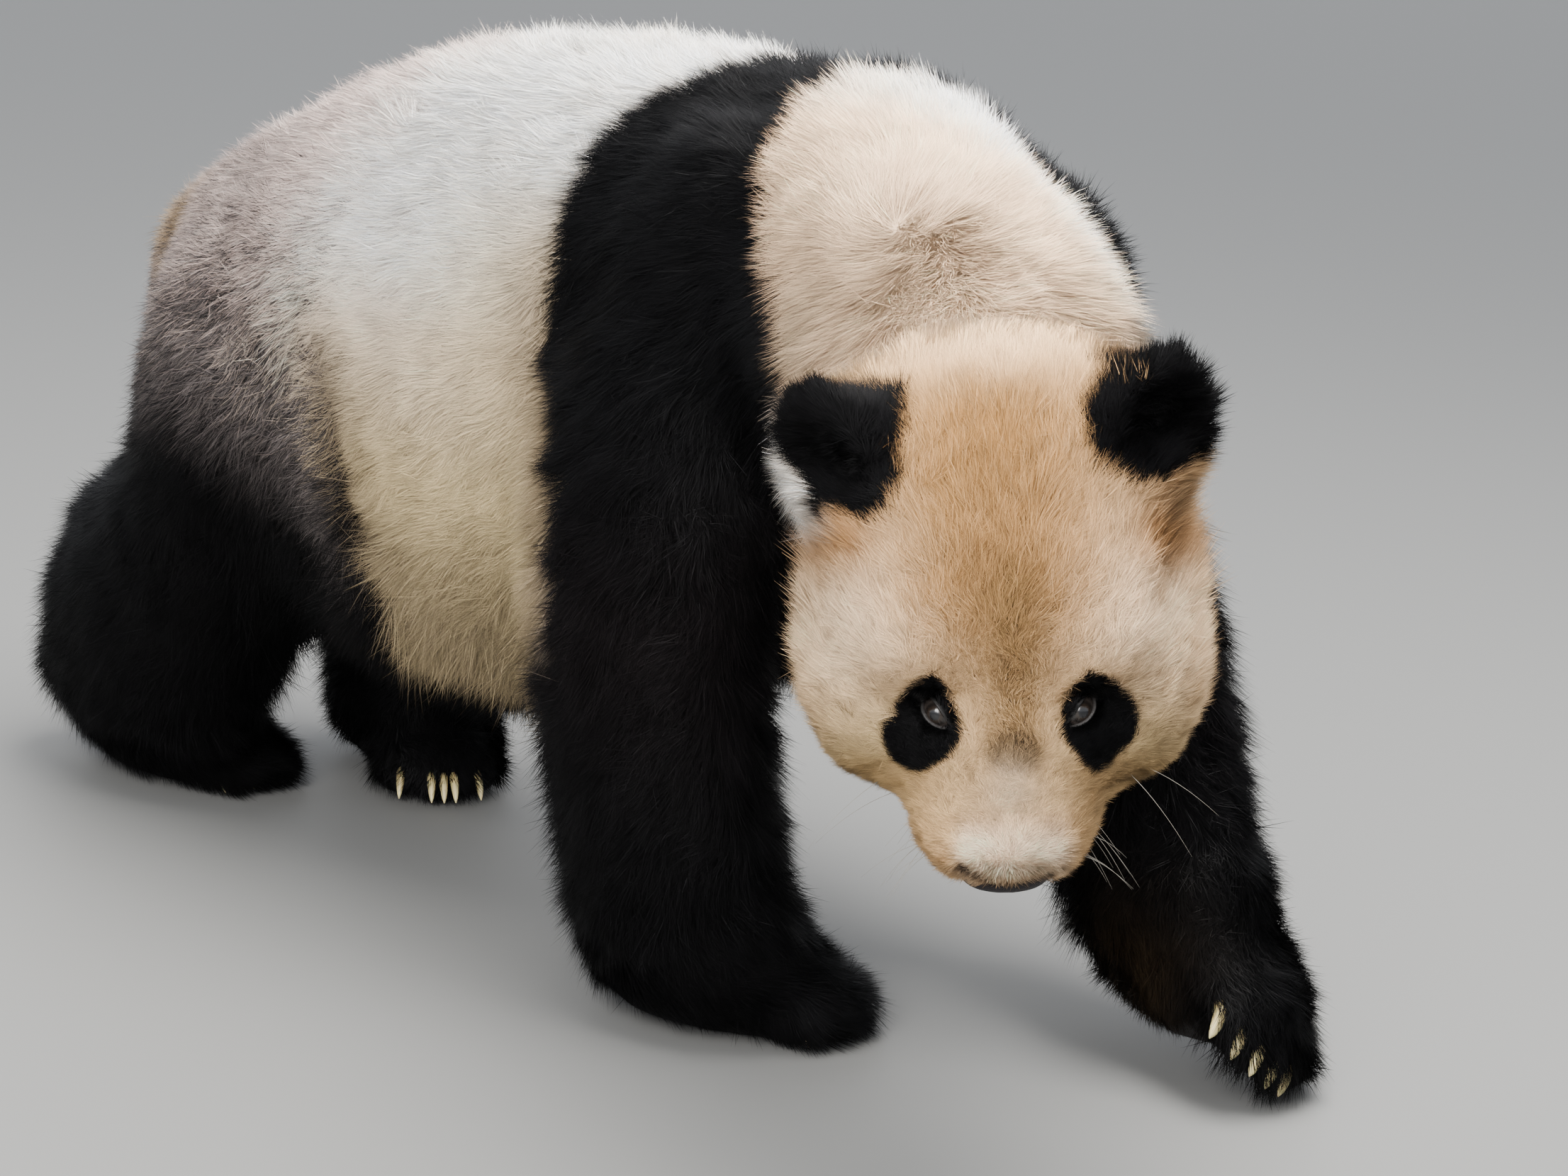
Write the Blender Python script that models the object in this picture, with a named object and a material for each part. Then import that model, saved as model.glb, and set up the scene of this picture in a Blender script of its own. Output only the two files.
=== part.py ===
"""Giant panda, life-size, as a still museum model.

The animal walks along -Y with its left side at +X.  Its head hangs low and is turned to its
right, the left forepaw swings inward and just meets the floor with its toe tips, and the heels
of the hind feet are raised, as in the living species.  All sizes are metres and reach out to the
tips of the coat.

The flesh is modelled whole, from eggs and lofted tubes that one voxel remesh fuses, and is then
parted into its named pieces by thin cuts.
"""
import math

import bmesh
import bpy
import numpy as np
from mathutils import Matrix, Vector

# ---------------------------------------------------------------- driving dimensions
GAP = 0.0003            # air left between two pieces that touch
VOXEL = 0.011           # grid of the remesh that fuses the flesh
SMOOTH_STEPS = 7        # rounds of smoothing after the remesh
FLESH_FACES = 4550      # triangles kept on the whole flesh before it is parted
HEAD_DETAIL = 0.02      # how much the head resists the thinning

LEFT_SHOULDER = Vector((0.118, -0.282, 0.557))      # carried forward by the reaching leg
NOSE = Vector((-0.349, -0.704, 0.274))      # tip of the nose
HEAD_YAW = math.radians(-50)                # head turned to the animal's right
HEAD_PITCH = math.radians(74)               # head hanging down from level
HEAD_ROLL = math.radians(5.5)               # chin swung to the animal's left
EYE_SPACING = 0.100     # between the middles of the eyes
EYE_SHIFT = 0.003       # of both eyes to the left of the nose's middle
EYE_RADIUS = 0.0125
EYE_CAP = 0.0025        # how far an eyeball stands out of the face
NOSE_RADII = (0.031, 0.020, 0.018)          # half width, depth and height of the nose pad
TOE_SPACING = 0.026
CLAW_LENGTH = 0.034
CLAW_RADIUS = 0.0058
CLAW_CLEARANCE = 0.008  # lowest height of a claw's axis above the floor
SHARP_ANGLE = math.radians(50)              # edges bent more than this stay crisp

HEAD_TURN = (
    Matrix.Rotation(HEAD_YAW, 4, "Z")
    @ Matrix.Rotation(HEAD_PITCH, 4, "X")
    @ Matrix.Rotation(HEAD_ROLL, 4, "Z")
)
HEAD_FRAME = Matrix.Translation(NOSE) @ HEAD_TURN


# ---------------------------------------------------------------- scene and materials
def clear_scene():
    """Remove every object, so that the file holds the panda alone."""
    for obj in list(bpy.data.objects):
        bpy.data.objects.remove(obj, do_unlink=True)


def material(name, colour, roughness, metallic=0.0):
    """Make a Principled material."""
    mat = bpy.data.materials.new(name)
    mat.use_nodes = True
    shader = mat.node_tree.nodes["Principled BSDF"]
    shader.inputs["Base Color"].default_value = (*colour, 1.0)
    shader.inputs["Roughness"].default_value = roughness
    shader.inputs["Metallic"].default_value = metallic
    mat.diffuse_color = (*colour, 1.0)
    return mat


# ---------------------------------------------------------------- shapes
def head_point(left, forward, up):
    """A point given in the head's own frame, whose origin is the tip of the nose."""
    return HEAD_FRAME @ Vector((left, -forward, up))


def egg(bm, centre, radii, turn=Matrix.Identity(4), subdivisions=3):
    """Add an ellipsoid with the given half axes, turned about its centre."""
    place = Matrix.Translation(centre) @ turn @ Matrix.Diagonal((*radii, 1.0))
    bmesh.ops.create_icosphere(bm, subdivisions=subdivisions, radius=1.0, matrix=place)


def smooth_path(stations, count):
    """Catmull-Rom curve through the rows of stations, at evenly spread parameters."""
    rows = np.asarray(stations, dtype=float)
    padded = np.vstack([2 * rows[0] - rows[1], rows, 2 * rows[-1] - rows[-2]])
    places = np.linspace(0, len(rows) - 1, count)
    index = np.minimum(places.astype(int), len(rows) - 2)
    t = (places - index)[:, None]
    p0, p1, p2, p3 = (padded[index + k] for k in range(4))
    return 0.5 * (
        2 * p1
        + (p2 - p0) * t
        + (2 * p0 - 5 * p1 + 4 * p2 - p3) * t ** 2
        + (3 * p1 - p0 - 3 * p2 + p3) * t ** 3
    )


def loft(bm, stations, side=(1, 0, 0), rings=18, sides=28, dome=0.7, dome_rings=3):
    """Add a closed tube through (x, y, z, half side, half depth) stations, with domed ends.

    `side` is the direction of the first half axis; the second is square to it and to the path.
    """
    path = smooth_path(stations, rings)
    centres = path[:, :3]
    tangents = np.gradient(centres, axis=0)
    tangents /= np.linalg.norm(tangents, axis=1)[:, None]
    bend = np.linspace(0.15, 0.5, dome_rings + 1)[:-1] * math.pi
    swell, reach = np.sin(bend), np.cos(bend)
    rows = [(centres[0] - tangents[0] * path[0, 4] * dome * r, path[0, 3:] * s, tangents[0])
            for s, r in zip(swell, reach)]
    rows += [(c, p[3:], t) for c, p, t in zip(centres, path, tangents)]
    rows += [(centres[-1] + tangents[-1] * path[-1, 4] * dome * r, path[-1, 3:] * s, tangents[-1])
             for s, r in zip(swell[::-1], reach[::-1])]
    angles = np.linspace(0, 2 * math.pi, sides, endpoint=False)
    loops = []
    for centre, half, tangent in rows:
        across = np.asarray(side, dtype=float)
        across = across - tangent * (across @ tangent)
        across /= np.linalg.norm(across)
        deep = np.cross(tangent, across)
        ring = (centre + np.cos(angles)[:, None] * across * half[0]
                + np.sin(angles)[:, None] * deep * half[1])
        loops.append([bm.verts.new(p) for p in ring])
    for low, high in zip(loops, loops[1:]):
        for k in range(sides):
            n = (k + 1) % sides
            bm.faces.new((low[k], low[n], high[n], high[k]))
    bm.faces.new(loops[0][::-1])
    bm.faces.new(loops[-1])


# ---------------------------------------------------------------- the flesh, part by part
def build_trunk(bm):
    """Barrel, rump, shoulders and the low-hung belly."""
    loft(bm, [
        (-0.028, 0.530, 0.466, 0.115, 0.134),
        (-0.028, 0.470, 0.462, 0.170, 0.192),
        (-0.020, 0.370, 0.447, 0.216, 0.255),
        (-0.010, 0.220, 0.447, 0.240, 0.294),
        (0.000, 0.050, 0.478, 0.240, 0.293),
        (0.000, -0.120, 0.510, 0.212, 0.268),
        (0.000, -0.230, 0.528, 0.172, 0.238),
        (-0.010, -0.310, 0.530, 0.135, 0.180),
    ], rings=26, sides=36)
    for x in (-1, 1):
        egg(bm, (0.118 * x, -0.185, 0.540), (0.103, 0.147, 0.200))
        egg(bm, (0.120 * x - 0.025, 0.370, 0.400), (0.112, 0.150, 0.190))
    egg(bm, (0.010, -0.212, 0.652), (0.140, 0.155, 0.128))
    egg(bm, LEFT_SHOULDER, (0.079, 0.124, 0.152))


def build_neck(bm):
    """Thick neck that bends down and to the right, from the shoulders to the nape."""
    loft(bm, [
        (-0.010, -0.180, 0.575, 0.160, 0.185),
        (-0.060, -0.300, 0.575, 0.150, 0.185),
        (-0.115, -0.410, 0.565, 0.148, 0.172),
        (-0.178, -0.510, 0.535, 0.148, 0.155),
    ], side=(0.77, -0.64, 0))


def build_head(bm):
    """Domed skull, full cheeks, short muzzle and chin, in the head's own frame."""
    for left, forward, up, radii in (
        (0.000, -0.225, 0.000, (0.133, 0.125, 0.112)),
        (0.000, -0.300, -0.010, (0.138, 0.100, 0.110)),
        (0.000, -0.130, 0.000, (0.090, 0.085, 0.075)),
        (0.000, -0.085, -0.008, (0.073, 0.066, 0.058)),
        (0.000, -0.056, -0.010, (0.066, 0.066, 0.050)),
        (0.000, -0.036, -0.038, (0.050, 0.046, 0.030)),
    ):
        egg(bm, head_point(left, forward, up), radii, HEAD_TURN)
    for x in (-1, 1):
        egg(bm, head_point(0.082 * x, -0.165, -0.020), (0.070, 0.098, 0.085), HEAD_TURN)
        egg(bm, head_point(0.060 * x, -0.190, 0.050), (0.060, 0.070, 0.055), HEAD_TURN)


def build_tail(bm):
    """Short flat tail that hangs over the rump."""
    loft(bm, [
        (-0.030, 0.560, 0.540, 0.040, 0.034),
        (-0.030, 0.615, 0.525, 0.042, 0.032),
        (-0.030, 0.650, 0.485, 0.038, 0.026),
    ], rings=8, sides=16)


def build_forelegs(bm):
    """Right foreleg straight as a column, left foreleg reaching forward."""
    loft(bm, [
        (-0.160, -0.170, 0.500, 0.095, 0.150),
        (-0.195, -0.185, 0.390, 0.092, 0.130),
        (-0.205, -0.207, 0.270, 0.088, 0.114),
        (-0.200, -0.232, 0.170, 0.086, 0.112),
        (-0.182, -0.245, 0.070, 0.080, 0.106),
    ])
    loft(bm, [
        (0.130, -0.220, 0.520, 0.095, 0.150),
        (0.150, -0.310, 0.400, 0.090, 0.130),
        (0.138, -0.383, 0.290, 0.085, 0.114),
        (0.114, -0.460, 0.190, 0.080, 0.106),
        (0.096, -0.540, 0.110, 0.070, 0.086),
    ])


def build_hind_legs(bm):
    """Heavy thighs, shanks that run back to raised heels."""
    loft(bm, [
        (-0.135, 0.370, 0.400, 0.110, 0.145),
        (-0.145, 0.390, 0.310, 0.104, 0.118),
        (-0.142, 0.490, 0.190, 0.100, 0.144),
        (-0.132, 0.553, 0.125, 0.088, 0.132),
        (-0.110, 0.545, 0.060, 0.074, 0.095),
    ])
    loft(bm, [
        (0.105, 0.380, 0.400, 0.108, 0.160),
        (0.115, 0.385, 0.300, 0.102, 0.145),
        (0.112, 0.415, 0.200, 0.086, 0.122),
        (0.105, 0.440, 0.130, 0.076, 0.102),
        (0.095, 0.425, 0.060, 0.070, 0.088),
    ])


PAWS = {
    "forepaw_right": dict(spot=(-0.145, -0.288, 0.0), heading=32, dip=0, roll=0, size=1.0,
                          cuff=(-0.175, -0.260, 0.100), down=(0, 0, -1)),
    "forepaw_left": dict(spot=(0.080, -0.586, 0.0475), heading=-27, dip=18, roll=36, size=1.02,
                         cuff=(0.100, -0.512, 0.140), down=(-0.10, -0.52, -0.84)),
    "hindpaw_right": dict(spot=(-0.100, 0.498, 0.0), heading=24, dip=0, roll=0, size=0.95,
                          cuff=(-0.115, 0.530, 0.090), down=(0, 0, -1),
                          box=(-0.110, 0.080, -0.142, 0.160)),
    "hindpaw_left": dict(spot=(0.085, 0.372, 0.0), heading=-36, dip=0, roll=0, size=1.0,
                         cuff=(0.095, 0.400, 0.090), down=(0, 0, -1)),
}
TOES = range(-2, 3)


def paw_frame(paw):
    """Frame of a paw: origin on the floor under its ball, -Y toward the toes."""
    return (
        Matrix.Translation(paw["spot"])
        @ Matrix.Rotation(math.radians(paw["heading"]), 4, "Z")
        @ Matrix.Rotation(math.radians(paw["dip"]), 4, "X")
        @ Matrix.Rotation(math.radians(paw["roll"]), 4, "Y")
    )


def toe_place(toe, size):
    """Sideways and forward place of a toe in its paw's frame."""
    return TOE_SPACING * toe * size, (0.072 - 0.006 * toe ** 2) * size


def build_paws(bm):
    """Broad furry mitts: a palm and five toes each."""
    for paw in PAWS.values():
        frame = paw_frame(paw)
        turn = frame.to_3x3().to_4x4()
        size = paw["size"]
        egg(bm, frame @ Vector((0, 0.012 * size, 0.036)),
            (0.074 * size, 0.095 * size, 0.046 * size), turn)
        if paw["dip"]:      # the lifted paw shows its full, rounded palm
            egg(bm, frame @ Vector((-0.022, 0.046, -0.004)), (0.056, 0.080, 0.040), turn)
        for toe in TOES:
            side, forward = toe_place(toe, size)
            egg(bm, frame @ Vector((side, -forward, 0.022)),
                (0.020 * size, 0.036 * size, 0.028 * size), turn, subdivisions=2)


def build_flesh():
    """Fuse all the shapes to one smooth closed skin with flat soles."""
    bm = bmesh.new()
    for build in (build_trunk, build_neck, build_head, build_tail,
                  build_forelegs, build_hind_legs, build_paws):
        build(bm)
    build_ears(bm)
    bmesh.ops.recalc_face_normals(bm, faces=bm.faces)
    mesh = bpy.data.meshes.new("flesh")
    bm.to_mesh(mesh)
    bm.free()
    obj = bpy.data.objects.new("flesh", mesh)
    bpy.context.scene.collection.objects.link(obj)
    remesh = obj.modifiers.new("fuse", "REMESH")
    remesh.mode = "VOXEL"
    remesh.voxel_size = VOXEL
    smooth = obj.modifiers.new("smooth", "SMOOTH")
    smooth.factor = 0.5
    smooth.iterations = SMOOTH_STEPS
    bake(obj)
    thin_out(obj)
    level_soles(obj.data)
    return obj


def bake(obj):
    """Replace an object's mesh by the one its modifiers give."""
    graph = bpy.context.evaluated_depsgraph_get()
    old = obj.data
    mesh = bpy.data.meshes.new_from_object(obj.evaluated_get(graph))
    obj.modifiers.clear()
    obj.data = mesh
    bpy.data.meshes.remove(old)


def thin_out(obj):
    """Thin the mesh to its budget, keeping more faces on the head."""
    group = obj.vertex_groups.new(name="plain")
    to_head = HEAD_FRAME.inverted()
    for vert in obj.data.vertices:
        local = to_head @ vert.co
        on_head = -0.02 < local.y < 0.36 and abs(local.x) < 0.2 and -0.2 < local.z < 0.2
        group.add([vert.index], 0.9 if on_head else 1.0, "REPLACE")
    triangles = sum(len(p.vertices) - 2 for p in obj.data.polygons)
    thin = obj.modifiers.new("thin", "DECIMATE")
    thin.ratio = FLESH_FACES / triangles
    thin.vertex_group = group.name
    thin.vertex_group_factor = HEAD_DETAIL
    thin.use_collapse_triangulate = True
    bake(obj)
    obj.vertex_groups.clear()


def level_soles(mesh):
    """Cut off all that reaches below the floor, which leaves small flats at one level."""
    bm = bmesh.new()
    bm.from_mesh(mesh)
    geometry = bm.verts[:] + bm.edges[:] + bm.faces[:]
    cut = bmesh.ops.bisect_plane(bm, geom=geometry, dist=1e-6, plane_co=(0, 0, 0),
                                 plane_no=(0, 0, -1), clear_outer=True)
    edges = [e for e in cut["geom_cut"] if isinstance(e, bmesh.types.BMEdge)]
    caps = bmesh.ops.holes_fill(bm, edges=edges, sides=0)
    bmesh.ops.triangulate(bm, faces=caps["faces"])
    bm.to_mesh(mesh)
    bm.free()


EARS = {
    "ear_right": dict(base=(-0.099, -0.258, 0.050), tip=(-0.127, -0.338, 0.066), turn=-45,
                      radii=(0.052, 0.060, 0.028)),
    "ear_left": dict(base=(0.098, -0.278, 0.040), tip=(0.122, -0.351, 0.072), turn=20,
                     radii=(0.052, 0.057, 0.027)),
}


def ear_frame(ear):
    """Frame of an ear: origin at its root, Y to its tip, X across and Z through its thickness."""
    base = head_point(*ear["base"])
    axis = (head_point(*ear["tip"]) - base).normalized()
    across = HEAD_TURN.to_3x3() @ (Matrix.Rotation(math.radians(ear["turn"]), 3, "Y")
                                   @ Vector((1, 0, 0)))
    across = (across - axis * across.dot(axis)).normalized()
    turn = Matrix((across, axis, across.cross(axis))).transposed().to_4x4()
    return Matrix.Translation(base) @ turn


def build_ears(bm):
    """Round ears as thick discs that stand on the skull."""
    for ear in EARS.values():
        frame = ear_frame(ear)
        length = (head_point(*ear["tip"]) - head_point(*ear["base"])).length
        egg(bm, frame @ Vector((0, length - 0.044, 0)), ear["radii"],
            frame.to_3x3().to_4x4())


# ---------------------------------------------------------------- parting the flesh
def prism(bm, frame, outline, depth):
    """Add a closed prism: an outline in the frame's XZ plane, run along its Y between two depths."""
    near, far = ([bm.verts.new(frame @ Vector((x, y, z))) for x, z in outline] for y in depth)
    count = len(outline)
    bm.faces.new(near)
    bm.faces.new(far[::-1])
    for k in range(count):
        n = (k + 1) % count
        bm.faces.new((near[n], near[k], far[k], far[n]))


def box_outline(left, right, low, high):
    """Corners of a rectangle, for a prism that is a box."""
    return [(left, low), (right, low), (right, high), (left, high)]


def looking(point, direction, side):
    """Frame at a point whose Y runs along a direction and whose X lies near `side`."""
    y = Vector(direction).normalized()
    x = Vector(side)
    x = (x - y * x.dot(y)).normalized()
    z = x.cross(y)
    turn = Matrix((x, y, z)).transposed().to_4x4()
    return Matrix.Translation(point) @ turn


def ear_cell(ear):
    """Box that holds one ear down to its root."""
    return ear_frame(ear), box_outline(-0.064, 0.064, -0.042, 0.042), (0.014, 0.130)


def head_cell():
    """Box that holds the head up to a slanting cut behind the ears."""
    nape = head_point(0, -0.300, -0.055)
    direction = HEAD_TURN @ Vector((0, -0.60, 0.80))
    frame = looking(nape, direction, HEAD_TURN @ Vector((1, 0, 0)))
    return frame, box_outline(-0.200, 0.200, -0.330, 0.260), (0.0, 0.400)


def neck_cell():
    """Box that holds the neck from its root at the shoulders."""
    frame = looking((-0.030, -0.290, 0.570), (-0.42, -0.90, -0.10), (1, 0, 0))
    return frame, box_outline(-0.260, 0.260, -0.270, 0.260), (0.0, 0.600)


def tail_cell():
    """Box that holds the tail behind the rump."""
    frame = looking((-0.030, 0.585, 0.520), (0, 1, 0.15), (1, 0, 0))
    return frame, box_outline(-0.070, 0.070, -0.110, 0.080), (0.018, 0.150)


def paw_cell(paw):
    """Box that holds one paw up to its wrist or ankle."""
    across = paw_frame(paw).to_3x3() @ Vector((1, 0, 0))
    frame = looking(paw["cuff"], paw["down"], across)
    outline = box_outline(*paw.get("box", (-0.110, 0.110, -0.180, 0.160)))
    return frame, outline, (0.0, 0.220)


def leg_cell(inner, crotch, hip, depth):
    """Prism that holds one leg, cut from the crotch slantwise up to the hip or shoulder."""
    out = math.copysign(0.5, hip[0])
    outline = [(out, -0.05), (inner, -0.05), crotch, hip, (out, hip[1])]
    if out > 0:
        outline.reverse()
    return Matrix.Identity(4), outline, depth


CELLS = {
    "ear_right": ear_cell(EARS["ear_right"]),
    "ear_left": ear_cell(EARS["ear_left"]),
    "tail": tail_cell(),
    **{name: paw_cell(paw) for name, paw in PAWS.items()},
    "foreleg_right": leg_cell(0.0, (-0.030, 0.320), (-0.240, 0.680), (-0.350, -0.050)),
    "foreleg_left": leg_cell(0.0, (0.030, 0.320), (0.220, 0.680), (-0.800, -0.090)),
    "hindleg_right": leg_cell(0.0, (-0.020, 0.240), (-0.240, 0.580), (0.200, 0.800)),
    "hindleg_left": leg_cell(0.0, (0.000, 0.240), (0.220, 0.580), (0.180, 0.800)),
    "head": head_cell(),
    "neck": neck_cell(),
}


def new_solid(name, build):
    """Closed solid as an object, kept out of the finished model until it is shown."""
    bm = bmesh.new()
    build(bm)
    bmesh.ops.recalc_face_normals(bm, faces=bm.faces)
    mesh = bpy.data.meshes.new(name)
    bm.to_mesh(mesh)
    bm.free()
    obj = bpy.data.objects.new(name, mesh)
    bpy.context.scene.collection.objects.link(obj)
    obj.hide_render = True
    obj.display_type = "WIRE"
    return obj


def grown(cell, gap):
    """The same prism with every side moved out by a gap."""
    frame, outline, depth = cell
    middle = np.mean(outline, axis=0)
    count = len(outline)
    lines = []
    for k in range(count):
        start, end = np.array(outline[k]), np.array(outline[(k + 1) % count])
        normal = np.array([end[1] - start[1], start[0] - end[0]])
        normal /= np.linalg.norm(normal)
        if normal @ (start - middle) < 0:
            normal = -normal
        lines.append((normal, normal @ start + gap))
    corners = [np.linalg.solve([lines[k - 1][0], lines[k][0]], [lines[k - 1][1], lines[k][1]])
               for k in range(count)]
    return frame, [tuple(c) for c in corners], (depth[0] - gap, depth[1] + gap)


def cut(obj, cutter, operation):
    """Apply one exact boolean to an object."""
    step = obj.modifiers.new("cut", "BOOLEAN")
    step.operation = operation
    step.solver = "EXACT"
    step.object = cutter
    bake(obj)


def copy_of(obj, name):
    """Separate copy of an object with a mesh of its own."""
    twin = obj.copy()
    twin.data = obj.data.copy()
    twin.name = name
    bpy.context.scene.collection.objects.link(twin)
    return twin


def drop(obj):
    """Remove an object that has done its work."""
    bpy.data.objects.remove(obj, do_unlink=True)


def part_flesh(flesh):
    """Part the flesh into its named pieces, a thin gap apart; what is left is the trunk."""
    pieces = {}
    for name, cell in CELLS.items():
        inner = new_solid("cell", lambda bm: prism(bm, *cell))
        outer = new_solid("cell_grown", lambda bm: prism(bm, *grown(cell, GAP)))
        piece = copy_of(flesh, name)
        cut(piece, inner, "INTERSECT")
        cut(flesh, outer, "DIFFERENCE")
        drop(inner)
        drop(outer)
        pieces[name] = piece
    flesh.name = "trunk"
    pieces["trunk"] = flesh
    return pieces


# ---------------------------------------------------------------- eyes, nose and claws
EYES = {"eye_right": -1, "eye_left": 1}


def eye_centre(head, side):
    """Centre of an eyeball, sunk so that a thin cap of it stands out of the face."""
    aim = (HEAD_TURN @ Vector((0.35 * side, -0.25, 1.0))).normalized()
    start = head_point(EYE_SPACING / 2 * side + EYE_SHIFT, -0.1215, 0.060) + aim * 0.3
    hit, place, _, _ = head.ray_cast(start, -aim)
    assert hit
    return place - aim * (EYE_RADIUS - EYE_CAP)


def add_eyes(head, mat):
    """Eyeballs, each in a round socket cut into the head."""
    for name, side in EYES.items():
        centre = eye_centre(head, side)
        ball = new_solid(name, lambda bm: egg(bm, centre, [EYE_RADIUS] * 3, subdivisions=2))
        socket = new_solid("socket", lambda bm: egg(bm, centre, [EYE_RADIUS + GAP] * 3,
                                                     subdivisions=2))
        cut(head, socket, "DIFFERENCE")
        drop(socket)
        show(ball, name, mat)


def nose_shape(bm, gap=0.0):
    """Broad blunt nose pad at the end of the muzzle."""
    radii = [r + gap for r in NOSE_RADII]
    egg(bm, head_point(0, -0.0135, -0.014), radii, HEAD_TURN, subdivisions=2)


def add_nose(head, mat):
    """Nose pad, let into the end of the muzzle."""
    pad = new_solid("nose", nose_shape)
    hollow = new_solid("hollow", lambda bm: nose_shape(bm, GAP))
    cut(head, hollow, "DIFFERENCE")
    drop(hollow)
    show(pad, "nose", mat)


def claw_shape(bm, paw, toe, gap=0.0):
    """One curved, tapering claw that leaves the front of its toe and bends to the floor."""
    frame = paw_frame(paw)
    side, forward = toe_place(toe, paw["size"])
    reach = forward + 0.013
    stations = []
    for along, height, radius in ((0.0, 0.026, 1.0), (0.5, 0.023, 0.9), (1.0, 0.009, 0.35)):
        place = frame @ Vector((side * (1 + 0.10 * along), -(reach + CLAW_LENGTH * along), height))
        place.z = max(place.z, CLAW_CLEARANCE)
        stations.append((*place, radius * CLAW_RADIUS + gap, radius * CLAW_RADIUS * 1.2 + gap))
    loft(bm, stations, side=frame.to_3x3() @ Vector((1, 0, 0)), rings=3, sides=5,
         dome=0.3, dome_rings=0)


def add_claws(pieces, mat):
    """Five claws to a paw, each let into its toe."""
    for paw_name, paw in PAWS.items():
        for number, toe in enumerate(TOES, start=1):
            name = f"claw_{paw_name}_{number}"
            claw = new_solid(name, lambda bm: claw_shape(bm, paw, toe))
            pocket = new_solid("pocket", lambda bm: claw_shape(bm, paw, toe, GAP))
            cut(pieces[paw_name], pocket, "DIFFERENCE")
            drop(pocket)
            show(claw, name, mat)


def show(obj, name, mat):
    """Finish an object as a visible node."""
    obj.name = name
    obj.hide_render = False
    obj.display_type = "TEXTURED"
    mesh = obj.data
    mesh.materials.clear()
    mesh.materials.append(mat)
    mesh.shade_smooth()
    mesh.set_sharp_from_angle(angle=SHARP_ANGLE)


def stand_on_origin(objects):
    """Move all the pieces so that the origin is the middle of the model's footprint."""
    corners = np.array([v.co[:] for obj in objects for v in obj.data.vertices])
    low, high = corners.min(axis=0), corners.max(axis=0)
    shift = Vector((-(low[0] + high[0]) / 2, -(low[1] + high[1]) / 2, -low[2]))
    for obj in objects:
        obj.data.transform(Matrix.Translation(shift))


BLACK_PIECES = ("ear_", "forepaw_", "hindpaw_", "foreleg_", "hindleg_")


def main():
    """Build the panda."""
    clear_scene()
    white = material("fur_white", (0.75, 0.70, 0.62), 0.9)
    black = material("fur_black", (0.015, 0.015, 0.018), 0.85)
    tan = material("fur_tan", (0.52, 0.38, 0.22), 0.9)
    eye = material("eye", (0.02, 0.015, 0.012), 0.15)
    skin = material("nose_skin", (0.02, 0.018, 0.02), 0.45)
    horn = material("horn", (0.62, 0.54, 0.36), 0.5)
    pieces = part_flesh(build_flesh())
    add_eyes(pieces["head"], eye)
    add_nose(pieces["head"], skin)
    add_claws(pieces, horn)
    for name, piece in pieces.items():
        dark = name.startswith(BLACK_PIECES)
        show(piece, name, black if dark else tan if name == "tail" else white)
    stand_on_origin(list(bpy.context.scene.collection.objects))


main()
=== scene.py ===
"""A giant panda as a life-size museum model: one skin, its coat in solid tufts, eyes, nose, claws."""
# %% [markdown]
# # A giant panda, life-size
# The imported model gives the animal's outline out to the tips of its coat, parted into head, neck,
# trunk, legs and so on.  Here one seamless skin is laid inside it, and the coat is grown on that
# skin as one and a half million thin solid tufts.  Everything is in metres, +Z up; the animal
# walks along -Y and its left side is at +X.
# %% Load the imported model
import math

import bmesh
import bpy
import numpy as np
from mathutils import Matrix, Vector


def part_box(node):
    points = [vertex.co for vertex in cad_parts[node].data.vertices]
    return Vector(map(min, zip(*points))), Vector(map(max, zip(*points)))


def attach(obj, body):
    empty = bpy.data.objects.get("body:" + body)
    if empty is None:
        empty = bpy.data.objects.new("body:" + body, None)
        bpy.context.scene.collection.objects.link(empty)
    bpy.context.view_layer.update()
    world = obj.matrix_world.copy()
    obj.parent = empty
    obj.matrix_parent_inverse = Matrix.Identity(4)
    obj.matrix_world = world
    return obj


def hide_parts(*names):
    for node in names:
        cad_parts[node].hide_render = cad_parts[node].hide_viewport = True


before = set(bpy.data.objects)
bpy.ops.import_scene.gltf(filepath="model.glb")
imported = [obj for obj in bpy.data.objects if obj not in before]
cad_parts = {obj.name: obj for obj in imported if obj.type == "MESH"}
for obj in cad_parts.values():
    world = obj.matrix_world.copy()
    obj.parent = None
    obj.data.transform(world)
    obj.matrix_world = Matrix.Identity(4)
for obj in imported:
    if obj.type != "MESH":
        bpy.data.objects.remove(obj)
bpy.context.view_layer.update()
rng = np.random.default_rng(20)

# %% [markdown]
# ## Places on the body
# The head hangs and is turned to the animal's right.  Its features are easiest to place in a
# frame of its own, with its origin at the tip of the nose: left, forward (out of the nose) and up
# (out of the forehead).  Each paw has a frame on the floor, with -Y toward its toes; `toes` says
# how far to the side each claw stands, `back` how deep its root lies, and `claws` and `thick` how
# long and thick it is.  An ear stands on its base and points to its tip; `pull` moves its far
# edge, and `rear` is where, behind its middle plane, the black of the skull ends.
# %% Head and paw frames
HEAD_TURN = (Matrix.Rotation(math.radians(-50), 3, "Z") @ Matrix.Rotation(math.radians(74), 3, "X")
             @ Matrix.Rotation(math.radians(5.5), 3, "Z"))
NOSE_MIDDLE = Vector((0.0, 0.0135, -0.014))
NOSE_TIP = sum(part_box("nose"), Vector()) / 2 - HEAD_TURN @ NOSE_MIDDLE
ORIGIN = NOSE_TIP - Vector((-0.349, -0.704, 0.274))
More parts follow.
